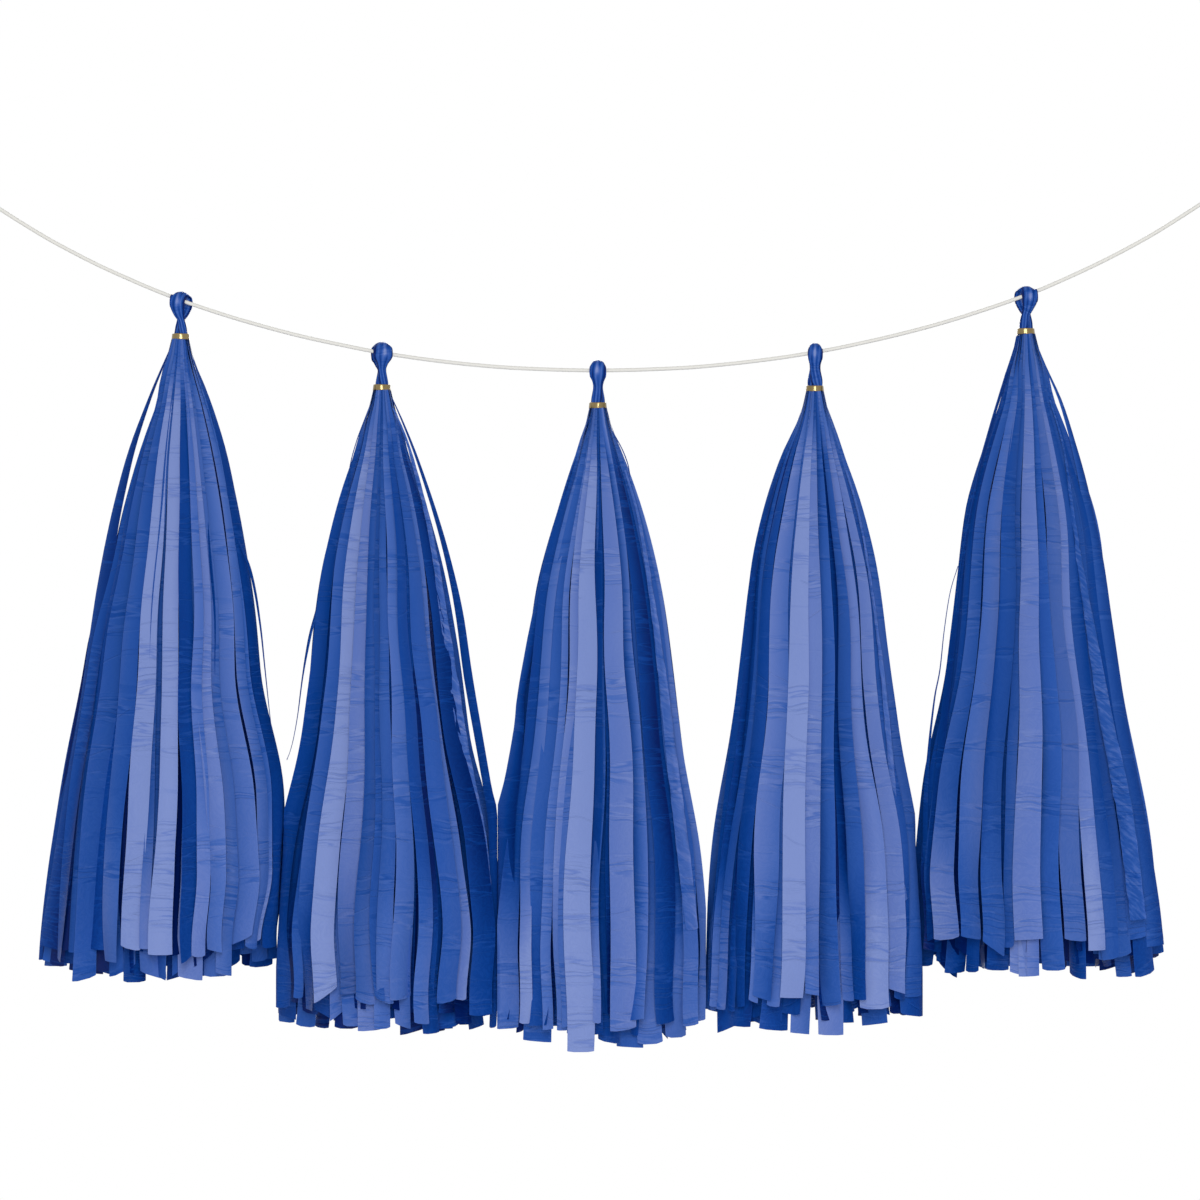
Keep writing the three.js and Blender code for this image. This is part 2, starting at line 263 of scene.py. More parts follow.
# Colour of the paper, painted shade to painted light: from the deepest recess to the strips that
# catch the most light
PAPER_SHADE_TO_LIGHT_COLORS = [
    (0.0, (0.0003, 0.012, 0.115, 1)), (0.2, (0.003, 0.050, 0.285, 1)),
    (0.4, (0.022, 0.087, 0.37, 1)), (0.6, (0.056, 0.128, 0.43, 1)),
    (0.8, (0.104, 0.170, 0.47, 1)), (1.0, (0.173, 0.240, 0.53, 1)),
]
PAPER_ROUGHNESS = 0.38, 0.45
PAPER_GLOSS = 0.08
PAPER_RELIEF = 0.21 * MM
MIDDLE_OF_NOISE = 0.3, 0.7
# The marks in the paper. WAVES are how many there are in a metre across and along a strip. A
# LINE is where in a noise a mark lies, and how far it reaches to either side. Other pairs are
# the values between which a mark comes in, goes out or grows.
PATCH_WAVES = 60
PATCH_COMES_IN = 0.46, 0.58
SHOULDER_CREASES_COME_IN = 22 * MM, 30 * MM
SHOULDER_CREASES_GO_OUT = 38 * MM, 50 * MM
ROLLS_APART = 9.7
BEND_WAVES = 70, 50
CREASE_WAVES = 35, 330
CREASE_BEND = 1.6
CREASE_LINE = 0.5, 0.06
SHADE_LINE = 0.42, 0.07
LONG_CREASES = 60
LONG_CREASE_TILTS = 7.3
LONG_CREASE_BEND = 6 * MM
LONG_CREASE_WIDTH = 0.04
LONG_CREASE_WAVES = 50, 30
LONG_CREASE_COMES_IN = 0.53, 0.63
SWIRL_SCALE, SWIRL_BEND, SWIRL_RINGS = 70, 2.5, 42
SWIRLS_GROW = 120 * MM, 300 * MM
SWIRL_HEIGHTS = 0.02, 0.07
RIDGE_WAVES = 150, 420
RIDGE_SLANT, RIDGE_BEND = 0.7, 3.0
SOFT_SCALE, SOFT_STRETCH = 90, 0.4
DYE_SCALE, DYE_STRETCH = 40, 0.25
# How high each mark stands, as a share of the relief, and how much it changes the tone: a painted
# highlight on the creases, a painted sheen on the swirls, a painted highlight on the rims, and the
# dye at random
CREASE_HEIGHT, CREASE_PAINTED_HIGHLIGHT = -0.8, 0.09
LONG_CREASE_HEIGHT, LONG_CREASE_PAINTED_HIGHLIGHT = -1.0, 0.05
SOFT_HEIGHT, RIDGE_HEIGHT = 0.8, 2.5
SWIRL_PAINTED_SHEEN, RIM_PAINTED_HIGHLIGHT = 0.3, 0.06
DYE_TONES = -0.03, 0.03
# From two values of the tone, or of the ridges, to how much each changes the tone: the painted
# shade below a crease, and the painted light and shade on crumpled ridges
PAINTED_SHADE_BY_TONE = 0.15, 0.6, -0.02, -0.17
RIDGE_PAINTED_LIGHT_AND_SHADE = 0.4, 0.7, -0.12, 0.24


class PaperNodes(Nodes):
    """The paper's nodes. Its attributes are the place along and across each strip in metres,
    how near its cut edge is, its tone, which paints the strip's shade and light into the colour,
    its seed, the roll that it was cut from, and how crumpled it is."""

    def __init__(self, material):
        super().__init__(material)
        for name in ("along", "across", "rim", "tone", "seed", "roll", "crumple"):
            setattr(self, name, self.attribute(name))
        self.bend = self.noise(self.place(*BEND_WAVES))

    def place(self, waves_across, waves_along):
        return self.vector(self.across * waves_across, self.along * waves_along, self.seed)

    def stretched(self, scale, stretch):
        """Noise that is longer down the strips than across them."""
        return self.noise(self.vector(self.across, self.along * stretch, self.seed), scale, 3.0)

    def fine_creases(self):
        """Groups of fine creases across the strips, at the same heights all round a roll, and the
        painted shade below each crease. There is always a group where the paper leaves the band."""
        patch = self.noise(self.vector(0.0, self.along * PATCH_WAVES, self.roll * ROLLS_APART))
        shoulder = (self.steps(self.along, *SHOULDER_CREASES_COME_IN)
                    * self.steps(self.along, *SHOULDER_CREASES_GO_OUT, 1.0, 0.0))
        patch = self.math("MAXIMUM", self.steps(patch, *PATCH_COMES_IN), shoulder)
        waves_across, waves_along = CREASE_WAVES
        slanted = self.along * waves_along + self.bend * CREASE_BEND
        streak = self.noise(self.vector(self.across * waves_across, slanted, self.seed))
        return self.line(streak, *CREASE_LINE) * patch, self.line(streak, *SHADE_LINE) * patch

    def long_creases(self):
        """Fewer long creases, each tilted its own way."""
        tilt = self.math("FRACT", self.seed * LONG_CREASE_TILTS) - 0.5
        place = self.along + self.across * tilt + self.bend * LONG_CREASE_BEND
        lines = self.add("ShaderNodeTexVoronoi", "Distance", {"W": place, "Scale": LONG_CREASES},
                         voronoi_dimensions="1D", feature="DISTANCE_TO_EDGE")
        kept = self.noise(self.place(*LONG_CREASE_WAVES), detail=2.0)
        return (self.steps(lines, 0.0, LONG_CREASE_WIDTH, 1.0, 0.0)
                * self.steps(kept, *LONG_CREASE_COMES_IN))

    def swirls(self):
        """Faint swirls where the paper was handled, stronger towards the foot, in the relief and
        as a painted sheen in the tone.
        """
        swirl = self.noise(self.vector(self.across, self.along, self.seed), SWIRL_SCALE, 2.0,
                           distortion=SWIRL_BEND)
        return (self.math("SINE", swirl * SWIRL_RINGS)
                * self.steps(self.along, *SWIRLS_GROW, *SWIRL_HEIGHTS))

    def crushed_ridges(self):
        """The slanting ridges of the strips that are crumpled, in the relief and as painted light
        and shade in the tone.
        """
        waves_across, waves_along = RIDGE_WAVES
        slanted = (self.along - self.across * RIDGE_SLANT) * waves_along
        ridges = slanted + self.bend * RIDGE_BEND
        return self.noise(self.vector(self.across * waves_across, ridges, self.seed), 1.0, 3.0,
                          0.6)


def paper_material():
    """Satin blue paper. Its creases catch the light on one side and lose it on the other, in their
    relief and in a painted highlight and painted shade in the colour.
    """
    material = bpy.data.materials.new("blue_paper")
    nodes = PaperNodes(material)
    creases, painted_shading = nodes.fine_creases()
    long_creases = nodes.long_creases()
    swirls = nodes.swirls()
    crushed = nodes.crushed_ridges()
    dye = nodes.stretched(DYE_SCALE, DYE_STRETCH)
    height = creases * CREASE_HEIGHT + long_creases * LONG_CREASE_HEIGHT + swirls
    height += nodes.stretched(SOFT_SCALE, SOFT_STRETCH) * SOFT_HEIGHT
    height += crushed * (nodes.crumple * RIDGE_HEIGHT)
    nodes.relief(height, 1.0, PAPER_RELIEF)
    tone = nodes.tone + nodes.steps(dye, *MIDDLE_OF_NOISE, *DYE_TONES)
    # Painted highlights on the creases and long creases, and painted shade below the fine creases
    tone += creases * CREASE_PAINTED_HIGHLIGHT
    tone += long_creases * LONG_CREASE_PAINTED_HIGHLIGHT
    tone += painted_shading * nodes.steps(nodes.tone, *PAINTED_SHADE_BY_TONE)
    # Painted sheen on the swirls
    tone += swirls * SWIRL_PAINTED_SHEEN
    # Painted highlights and painted shade on the ridges of crumpled strips
    tone += nodes.steps(crushed, *RIDGE_PAINTED_LIGHT_AND_SHADE) * nodes.crumple
    # Painted highlight along the cut edges, where they curl
    tone += nodes.rim * RIM_PAINTED_HIGHLIGHT
    # The ramp paints each strip's shade and light into the colour, by its tone
    nodes.look(nodes.ramp(tone, PAPER_SHADE_TO_LIGHT_COLORS),
               nodes.steps(dye, *MIDDLE_OF_NOISE, *PAPER_ROUGHNESS), PAPER_GLOSS)
    return material


GOLD_COLORS = (0.16, 0.115, 0.045, 1), (0.31, 0.24, 0.12, 1)
GOLD_GRAIN, GOLD_BLOTCHES = 900, 220
GOLD_ROUGHNESS = 0.2, 0.3
GOLD_RELIEF = 0.2 * MM


def gold_material():
    material = bpy.data.materials.new("gold_band")
    nodes = Nodes(material)
    place = nodes.add("ShaderNodeTexCoord", "Object")
    grain = nodes.noise(place, GOLD_GRAIN, 3.0)
    blotch = nodes.noise(place, GOLD_BLOTCHES, 2.0)
    nodes.look(nodes.blend_colors(blotch, *GOLD_COLORS),
               nodes.steps(grain, *MIDDLE_OF_NOISE, *GOLD_ROUGHNESS))
    nodes.put(nodes.shader.inputs["Metallic"], 1.0)
    nodes.relief(blotch, 0.4, GOLD_RELIEF)
    return material


TWINE_COLORS = (0.7, 0.69, 0.65, 1), (0.84, 0.83, 0.79, 1)
TWINE_ROUGHNESS = 0.6, 0.75
TWINE_GLOSS = 0.25
TWINE_RELIEF = 0.15 * MM
# How the fibres wind, in radians for each metre, and how fine they are
FIBRE_TURNS, FIBRE_WAVES, FIBRE_SCALE = -1800, 250, 6


def twine_material():
    material = bpy.data.materials.new("twine")
    nodes = Nodes(material)
    along = nodes.attribute("along")
    turned = nodes.attribute("around") + along * FIBRE_TURNS
    fibres = nodes.noise(nodes.vector(turned, along * FIBRE_WAVES, 0.0), FIBRE_SCALE, 3.0)
    nodes.look(nodes.blend_colors(fibres, *TWINE_COLORS),
               nodes.steps(fibres, *MIDDLE_OF_NOISE, *TWINE_ROUGHNESS), TWINE_GLOSS)
    nodes.relief(fibres, 0.3, TWINE_RELIEF)
    return material


# String

STRING_RADIUS = 1.0 * MM
CORE_RADIUS = 1.6 * MM
PLIES = 3
PLY_DEPTH = 0.05
LAY_LENGTH = 9 * MM
# How much of its thickness the twine keeps at a cut end
END_SHARE = 0.02
TWINE_SIDES, WRAP_SIDES = 12, 10
STRING_SAMPLES, HANGING_LOOP_SAMPLES, WRAP_SAMPLES, CORE_SAMPLES = 900, 90, 220, 24
# Middle of the string from knot to knot
ROUTE = [
    (0.0186, -0.0134), (0.0339, -0.0237), (0.0467, -0.0318), (0.0594, -0.0394),
    (0.0722, -0.0463), (0.0849, -0.0527), (0.0977, -0.0585), (0.1104, -0.0640),
    (0.1262, -0.0702), (0.1440, -0.0763), (0.1614, -0.0816), (0.1869, -0.0884),
    (0.2124, -0.0939), (0.2287, -0.0970), (0.2507, -0.1003), (0.2762, -0.1032),
    (0.3017, -0.1050), (0.3389, -0.1060), (0.3782, -0.1049), (0.4037, -0.1029),
    (0.4292, -0.0999), (0.4496, -0.0967), (0.4674, -0.0933), (0.4929, -0.0875),
    (0.5184, -0.0806), (0.5439, -0.0724), (0.5572, -0.0675), (0.5694, -0.0627),
    (0.5949, -0.0510), (0.6204, -0.0374), (0.6454, -0.0217), (0.6612, -0.0108),
]
LEFT_HOOK = (0.0, 0.0)
RIGHT_HOOK = (0.6798, 0.0027)
BIGHT_RADIUS = 4.0 * MM
BIGHT_POINTS = 7
KNOT_LENGTH = 7.6 * MM
KNOT_GAP = 0.3 * MM
KNOT_FACE = KNOT_LENGTH / 2 + KNOT_GAP
WRAP_RADIUS = 2.1 * MM
WRAP_PITCH = 2.45 * MM
WRAP_TURNS = 2.5
WRAP_STEPS = 30
TAIL_REACH = 13 * MM
TAIL_DROP = 4 * MM


def in_plane(place):
    return Vector((place[0], 0, place[1]))


def twine_piece(name, node, points, samples, radius, sides, material):
    """A piece of twisted twine along a curve through the points, and the curve."""
    centres, length = spline(points, samples)
    ahead = directions_along(centres)
    across = np.zeros_like(ahead)
    start = Vector(ahead[0]).orthogonal().normalized()
    for i, direction in enumerate(ahead):
        start = (start - start.dot(Vector(direction)) * Vector(direction)).normalized()
        across[i] = start
    up = np.cross(ahead, across)
    angle = round_angles(sides)
    along = np.linspace(0, length, samples)
    wave = np.cos(PLIES * (angle[None, :] - 2 * math.pi * along[:, None] / LAY_LENGTH))
    reach = radius * (1 + PLY_DEPTH * (wave - 1) / 2)
    ends = np.minimum(along, length - along)[:, None]
    reach = reach * np.sqrt(np.clip(ends / radius, END_SHARE, 1))
    points = swept(centres, across, up, reach * np.cos(angle), reach * np.sin(angle))
    attributes = {"along": np.repeat(along, sides), "around": np.tile(angle, samples)}
    piece = make_mesh(name, points.reshape(-1, 3), tube_faces(samples, sides), material,
                      attributes)
    return put_in_place(piece, "hanging_string", node), centres, length


def add_string(material):
    points = [in_plane(p) for p in ROUTE]
    points[0] += (points[1] - points[0]).normalized() * KNOT_FACE
    points[-1] += (points[-2] - points[-1]).normalized() * KNOT_FACE
    return twine_piece("string_span", "string", points, STRING_SAMPLES, STRING_RADIUS,
                       TWINE_SIDES, material)


def add_hanging_loop(name, knot, hook, material):
    knot, hook = in_plane(knot), in_plane(hook)
    to_hook = (hook - knot).normalized()
    aside = Vector((-to_hook.z, 0, to_hook.x))
    leg = (2 * STRING_RADIUS + KNOT_GAP) / 2
    starts = [knot + to_hook * KNOT_FACE + aside * leg * side for side in (1, -1)]
    points = [starts[0], starts[0] + to_hook * 2 * STRING_RADIUS]
    for angle in np.linspace(-math.pi / 2, math.pi / 2, BIGHT_POINTS):
        points.append(hook + to_hook * BIGHT_RADIUS * math.cos(angle)
                      - aside * BIGHT_RADIUS * math.sin(angle))
    points += [starts[1] + to_hook * 2 * STRING_RADIUS, starts[1]]
    loop, _, _ = twine_piece(name + "_twine", name, points, HANGING_LOOP_SAMPLES, STRING_RADIUS,
                             TWINE_SIDES, material)
    return loop


def add_knot(name, knot, next_point, material):
    """Wraps round the string's end, with the cut tail hanging from the last one."""
    knot, next_point = in_plane(knot), in_plane(next_point)
    along = (next_point - knot).normalized()
    side = 1 if along.x > 0 else -1
    up = Vector((0, 0, 1)).rotation_difference(along)
    points = []
    for i in range(WRAP_STEPS + 1):
        share = i / WRAP_STEPS
        angle = -side * math.pi / 2 + 2 * math.pi * WRAP_TURNS * (share - 1)
        height = WRAP_PITCH * WRAP_TURNS * (share - 0.5)
        points.append(Vector((WRAP_RADIUS * math.cos(angle), WRAP_RADIUS * math.sin(angle),
                              height)))
    end = points[-1]
    for share in (0.33, 0.67, 1):
        points.append(end + Vector((side * TAIL_REACH * share, 0, -TAIL_DROP * share ** 2)))
    wraps, _, _ = twine_piece(name + "_wraps", name, [knot + up @ p for p in points],
                              WRAP_SAMPLES, STRING_RADIUS, WRAP_SIDES, material)
    core_points = [knot + along * KNOT_LENGTH * share for share in (-0.5, -0.17, 0.17, 0.5)]
    core, _, _ = twine_piece(name + "_core", name, core_points, CORE_SAMPLES, CORE_RADIUS,
                             TWINE_SIDES, material)
    return [wraps, core]


# Tassels

# Middle of each loop's eye, in metres
EYES = [
    (0.1262, -0.0707951), (0.2287, -0.0984187), (0.3389, -0.1077),
    (0.4496, -0.098234), (0.5572, -0.0680259),
]
# Left and right edge of each tassel's foot in the photograph
FOOT_EDGES = [(36, 275), (272, 498), (497, 706), (706, 925), (922, 1166)]
# Where the room of one tassel ends and that of the next begins, above and below the stretch
# in which that line moves sideways. The stretch is measured from half the height of the eye,
# which keeps the tassels apart when all of them swing by 60 degrees.
ROOM_EDGES = [(-60, -60), (283.5, 276.5), (497.5, 497.5), (706, 706), (915, 922), (1260, 1260)]
ROOM_MOVES_FROM, ROOM_MOVES_TO = 298 * MM, 360 * MM
ROOM_MARGIN = 0.05 * MM
BAND_TOP = 15.9 * MM
BAND_HEIGHT = 3.0 * MM
BAND_RADIUS = 4.4 * MM
STRIP_START = 18.6 * MM
# How much higher than that the photograph shows each band and all below it, in mm
LIFTS = [-0.6, 1.1, 1.2, 0.3, -0.7]
FLARE_LENGTH = 306 * MM
STRIP_WIDTH = 12.4 * MM
DEPTH_RADIUS = 57 * MM
SIDE_DEPTH = -14 * MM
USUAL_HALF_FOOT = 58.3 * MM

# How wide the tassel is at each share of the way down to its foot
FLARE_SHARES = [
    (0, 0.08), (0.025, 0.113), (0.05, 0.16), (0.1, 0.258), (0.17, 0.388), (0.27, 0.528),
    (0.42, 0.667), (0.58, 0.78), (0.72, 0.885), (0.85, 0.95), (1, 1), (1.15, 1.05),
]

# The strips that show in front, left to right: left and right edge and lower end, in pixels
# of the photograph, and the tone above and at the foot. The tones run from -1, in a recess,
# and 0, turned away, to 4, facing the camera. A strip is turned and set back by its tone, and
# the tone also paints that shade and light into its colour.
FRONT = [
    [(57, 72, 962, 0, 0), (65, 77, 953, 0, 1), (72, 96, 980, 1, 1), (94, 120, 962, 1, 2),
     (119, 143, 949, 4, 4), (141, 154, 949, 1, 3), (153, 179, 955, 4, 4), (178, 198, 957, 0, 0),
     (196, 208, 957, 2, 3), (205, 218, 951, 3, 2), (215, 230, 975, 2, 2), (219, 247, 943, 2, 2),
     (246, 257, 949, 2, 2), (255, 263, 941, 1, 3), (259, 276, 948, 0, 0)],
    [(272, 294, 1008, 0, 0), (295, 305, 998, 0, 1), (301, 315, 1010, 1, 0),
     (312, 338, 996, 4, 4), (336, 357, 995, 3, 2), (355, 374, 1004, 1, 2),
     (371, 382, 1000, 1, 1), (377, 392, 1003, 1, 2), (389, 416, 1000, 2, 2),
     (413, 432, 1024, 0.5, 2), (432, 456, 1003, 1, 1), (452, 469, 1000, 2, 3),
     (466, 485, 1016, -0.5, 0)],
    [(498, 521, 1029, 0, 2), (520, 535, 1024, 2, 4), (532, 547, 1026, 1, 0),
     (545, 554, 1030, 2, 2), (552, 562, 1031, 3, 2), (559, 569, 1027, 2, 2),
     (567, 593, 1052, 4, 4), (590, 603, 1035, 0, 0), (595, 603, 1023, 1, 3),
     (606, 634, 1031, 3, 3), (631, 654, 1020, 1, 1), (652, 674, 1024, -0.5, 0),
     (678, 697, 1026, 1, 2), (694, 704, 1021, 2, 2)],
    [(708, 716, 1010, 0.1, 2), (714, 723, 1007, -0.5, 2), (721, 732, 1010, 0.5, 2),
     (730, 738, 1012, -0.7, 0), (736, 746, 1008, 0.2, 0), (745, 755, 1002, -0.5, 2),
     (753, 770, 999, 2.5, 1), (768, 782, 1007, 1, 2),
     (780, 806, 998, 4, 4), (804, 820, 995, 3, 2), (817, 840, 1006, 1, 1),
     (838, 848, 1002, -0.5, 2), (845, 859, 1000, 1, 0), (856, 883, 1009, 3, 4),
     (881, 899, 991, 3, 3), (896, 907, 1000, 1, 0), (903, 923, 997, 1.5, 1)],
    [(925, 932, 950, 0, -1), (929, 941, 943, 0, 0), (938, 964, 940, 1, 3),
     (962, 981, 939, 2, 1), (979, 1005, 950, 0.5, 1), (1003, 1017, 948, 1, 1),
     (1015, 1043, 940, 3, 3), (1040, 1061, 971, 1, 1), (1058, 1087, 941, 2, 2),
     (1085, 1100, 950, 3, 4), (1097, 1116, 960, 0.5, 1), (1113, 1132, 957, 0.5, 1),
     (1129, 1145, 939, 0, 1), (1143, 1164, 942, 1, 0)],
]
# Strips behind those, whose longer ends peek out below them, in the same terms
BEHIND = [
    [(114, 138, 973, 1, 1), (122, 144, 983, 0, 0), (140, 164, 976, 1, 2), (155, 176, 977, 0, 1),
     (178, 204, 979, 1, 3), (202, 229, 977, 0, 2)],
    [(326, 350, 1013, 0, 2), (337, 358, 1026, 1, 2), (358, 380, 1031, 0, 3),
     (374, 392, 1029, 1, 2), (392, 412, 1027, 0, 2), (422, 444, 1034, 0, 0)],
    [(526, 550, 1042, 0, 1), (594, 620, 1043, 0, 0), (622, 646, 1048, 0, 1),
     (644, 666, 1044, 1, 2), (662, 684, 1038, 0, 2)],
    [(717, 736, 1029, 0, 0), (732, 753, 1027, 0, 0), (764, 788, 1031, 1, 0),
     (790, 810, 1034, 0, 2), (814, 841, 1035, 1, 3), (859, 886, 1025, 0, 1),
     (900, 921, 1016, 0, 0)],
    [(988, 1009, 971, 0, 0), (1007, 1025, 974, 1, 3), (1021, 1039, 976, 0, 3),
     (1068, 1086, 978, 1, 0), (1134, 1151, 975, 0, 0)],
]
# Strips that stand off from the sides, lie crumpled on the tassel or are cut to slivers: their
# tone, how crumpled they are, and the pixels that they pass, with their width there
PLACED = [
    [(-0.4, 0, [(172, 345, 1.5), (159, 375, 2.5), (149, 400, 3.5), (134, 442, 6), (124, 478, 8),
         (112, 532, 10), (103, 590, 15), (95, 650, 17), (86, 720, 19), (72, 800, 20),
         (59, 880, 20), (46, 948, 21)]),
     (0, 0, [(187, 346, 0.8), (198, 371, 1), (206, 390, 1), (212, 410, 1), (217, 446, 0.8)]),
     (0, 0, [(238, 540, 2), (249, 566, 3), (256, 596, 2.5), (262, 640, 1.6), (267, 690, 1),
         (272, 735, 0.6)])],
    [(-0.2, 0, [(392, 398, 1), (403, 423, 2), (417, 459, 3), (435, 514, 4.5), (448, 562, 6),
         (459, 615, 8), (468, 680, 9), (480, 750, 8.5), (487, 790, 8.5), (493, 822, 12),
         (493.5, 860, 11), (494, 940, 9), (494, 1028, 7)]),
     (1.8, 1, [(393, 408, 2), (405, 436, 2.5), (414, 466, 3.5), (430, 530, 5), (441, 600, 7),
         (449, 655, 9), (464, 750, 10), (474, 800, 10), (482, 845, 10), (487, 900, 9)]),
     (0, 0, [(374, 400, 0.8), (363, 424, 1), (354, 450, 1), (349, 474, 1), (350, 500, 0.8)]),
     (0, 0, [(330, 560, 2), (318, 606, 3), (309, 640, 3), (303, 675, 1.6), (298, 715, 0.9),
         (291, 760, 0.6)])],
    [(0, 0, [(591, 414, 1), (582, 439, 1.5), (572, 468, 2.5), (561, 504, 3), (546, 560, 4),
         (531, 640, 8), (521, 694, 7), (519, 727, 10), (512.5, 778, 15), (505.5, 820, 21),
         (505, 880, 19.5), (505, 960, 17), (505, 1018, 15)]),
     (2, 0.5, [(625, 470, 2), (639, 520, 3), (652, 600, 5), (664, 690, 9), (673, 770, 11),
         (683, 850, 13), (692, 930, 12)]),
     (0, 0, [(607, 422, 0.8), (618, 441, 1.2), (625, 456, 1.2), (629, 470, 1), (631, 490, 0.8)])],
    [(0, 0, [(808, 396, 1), (797, 430, 2), (784, 464, 3), (769, 500, 4), (757.5, 545, 5),
         (750, 600, 7), (740, 690, 8), (730, 780, 9), (720, 880, 9), (712, 1000, 9)]),
     (2, 0.4, [(846, 470, 2), (860, 520, 2), (876, 620, 3), (887, 720, 5), (895, 820, 7),
         (902, 900, 7)])],
    [(-0.3, 0, [(1018.5, 336, 5), (1015.5, 350, 5), (1010.5, 364, 4.5), (998.5, 400, 3),
         (988.5, 434, 3), (976.5, 480, 4), (964.5, 540, 5), (955, 620, 6), (946, 700, 7),
         (938, 780, 8), (931, 860, 9), (928, 940, 9)]),
     (0.5, 0, [(1033, 338, 1), (1048, 372, 2), (1061, 402, 3.5), (1072.5, 440, 5),
         (1084.5, 488, 8), (1098, 560, 12), (1107, 630, 15), (1119.5, 720, 17), (1137.5, 820, 19),
         (1150, 900, 20), (1155, 946, 20)]),
     (1.1, 0.7, [(1050, 400, 1.5), (1064, 450, 2), (1075, 530, 4), (1089, 620, 9),
         (1106, 720, 14), (1124, 810, 16), (1138, 920, 15)]),
     (0, 0, [(1006, 372, 0.7), (993, 416, 0.7), (982, 456, 0.7), (969, 520, 0.7), (960, 570, 0.7),
         (956, 620, 0.7)]),
     (0, 0, [(958, 566, 0.8), (950, 593, 0.8), (944, 632, 0.9), (939.5, 671, 1.2),
         (935, 695, 1.6), (931, 728, 2.2), (928.5, 755, 3), (926.5, 780, 4), (925, 820, 5),
         (925, 870, 5)])],
]
# How much slimmer the strips between those are above, in pixels at the left and at the right,
# and down to which share of the flare
SLIMMER = [(10, -1.5), (4, 6), (3.5, -1), (-3, 2.5), (5.5, 8)]
SLIMMER_UNTIL = [(0.46, 0.52), (0.36, 0.7), (0.28, 0.16), (0.36, 0.34), (0.24, 0.3)]
# How much slimmer they are half-way down
WAIST = [(0, -2), (9, 0), (4, 0), (4, 6), (5, 11)]
# How much slimmer they are just above the foot
HEM = [(0, -13), (-8, -7), (-5, -4), (-1, -7), (-8, 4)]
# The shares of the flare between which each of these comes in, and goes out again. The first
# goes out about SLIMMER_UNTIL.
SLIMMER_FROM = 0.045, 0.12
SLIMMER_FADE = -0.12, 0.06
WAIST_SPAN = (0.25, 0.5), (0.6, 0.92)
HEM_SPAN = (0.55, 0.76), (0.88, 1)
# The row of the photograph in which each tassel's strips in front were read
READ_AT_PIXEL = [916, 972, 978, 965, 918]
# For the tones 0 to 4, how many degrees a strip is turned away, and how far it is set back
TONES = 5
FACING_BY_TONE = [43, 31, 22, 13, 3]
RECESS_BY_TONE = [4.5 * MM, 3.5 * MM, 2.5 * MM, 1.2 * MM, 0]
# Near the band the tone follows the pleats of the paper, as painted light and shade that alternate
# round it, and from there to the foot it goes from a strip's first tone to its second
SHOULDER_TONE = 1.4
SHOULDER_CONTRAST = 0.9
SHOULDER_PLEATS = 9
SHOULDER_FADES = 0.02, 0.13
FOOT_TONE_FROM = 0.74, 0.95
# How strips stray sideways, in and out, in width and in turn
SHARED_SWAY = 0.45 * MM
SHARED_SWAY_FROM = 0.15, 0.5
SLOW_SWAY, QUICK_SWAY = 0.6 * MM, 0.5 * MM
BREATHING = 0.7 * MM
WIDTH_STRAY = 0.1
TURN_STRAY = 3
TURNED_FEET, FOOT_TURN = 0.15, (15, 40)
STRIP_ROWS = 56
STRIP_COLUMNS = [-1, -0.93, -0.5, 0, 0.5, 0.93, 1]
# How a strip bows, ripples and crumples, how its foot lifts and how its end is cut, and the
# painted shading across it, lighter to one side and over its bow
STRIP_BOW = 0.09
BOW_PAINTED_SHADING, SIDE_PAINTED_SHADING = 1.5, 0.3
RIPPLE = 0.12 * MM
CRUMPLING = 0.3 * MM
FOOT_LIFT = 1 * MM, 3 * MM
USUAL_SLANT, BOLD_SLANT, USUAL_SHARE = 0.055, 0.17, 0.7
CORNER = 1.3 * MM
# How far a placed strip stands off, how much farther a crumpled one does, and the width below
# which it is a sliver
STAND_OFF, CRUMPLED_STAND_OFF = 0.5 * MM, 2 * MM
SLIVER_PIXELS = 4
# The width of a listed strip as a share of what is seen of it, how many times the usual width
# it may have, and how much wider it may be above
SHOWN_WIDTH, WIDEST, MOST_WIDENING = 0.92, 1.1, 0.35
# How far across the tassel a listed strip may hang, from where it counts as at the flank, and
# the same for the strips that fill a roll, as a sine from the side
MOST_ACROSS, FLANK_ACROSS, FLANK_SINE = 0.97, 0.6, 0.4
MIDDLE_RECESS = 0.86
# The strips that fill each roll: how many, from which angle to which, how far out, how much
# longer in mm, and their tones. 90 degrees is the back.
FILLING = {
    "outer": [(4, -14, 22, 1, 0, (0, 0, 1)), (14, 22, 158, 1, 0, range(TONES)),
              (4, 158, 194, 1, 0, (0, 0, 1))],
    # A tone of -1 paints a strip deep in a roll in the shade of the recess
    "middle": [(13, 180, 360, 0.93, -1, (-1, -1, 0, 0)), (11, 180, 360, 0.82, 1, (-1, 0, 0, 1)),
               (12, 0, 180, 0.84, 2, (-1, 0, 0, 1))],
    "inner": [(14, 0, 360, 0.6, 2, (-1, -1, 0)), (7, 0, 360, 0.3, 0, (-1,))],
}
# How far below READ_AT_PIXEL they end, and how far in from the edge of the foot they hang
FILLING_LOWER_PIXELS = 45
FILLING_INSET = 1.5 * MM + STRIP_WIDTH * 0.22
# How they differ: in mm shorter, and in shares of their width, their reach and their spacing
FILLING_SHORTER = -4, 9
FILLING_WIDTHS, FILLING_REACHES, FILLING_JITTER = (0.9, 1.04), (0.95, 1.0), (-0.25, 0.25)


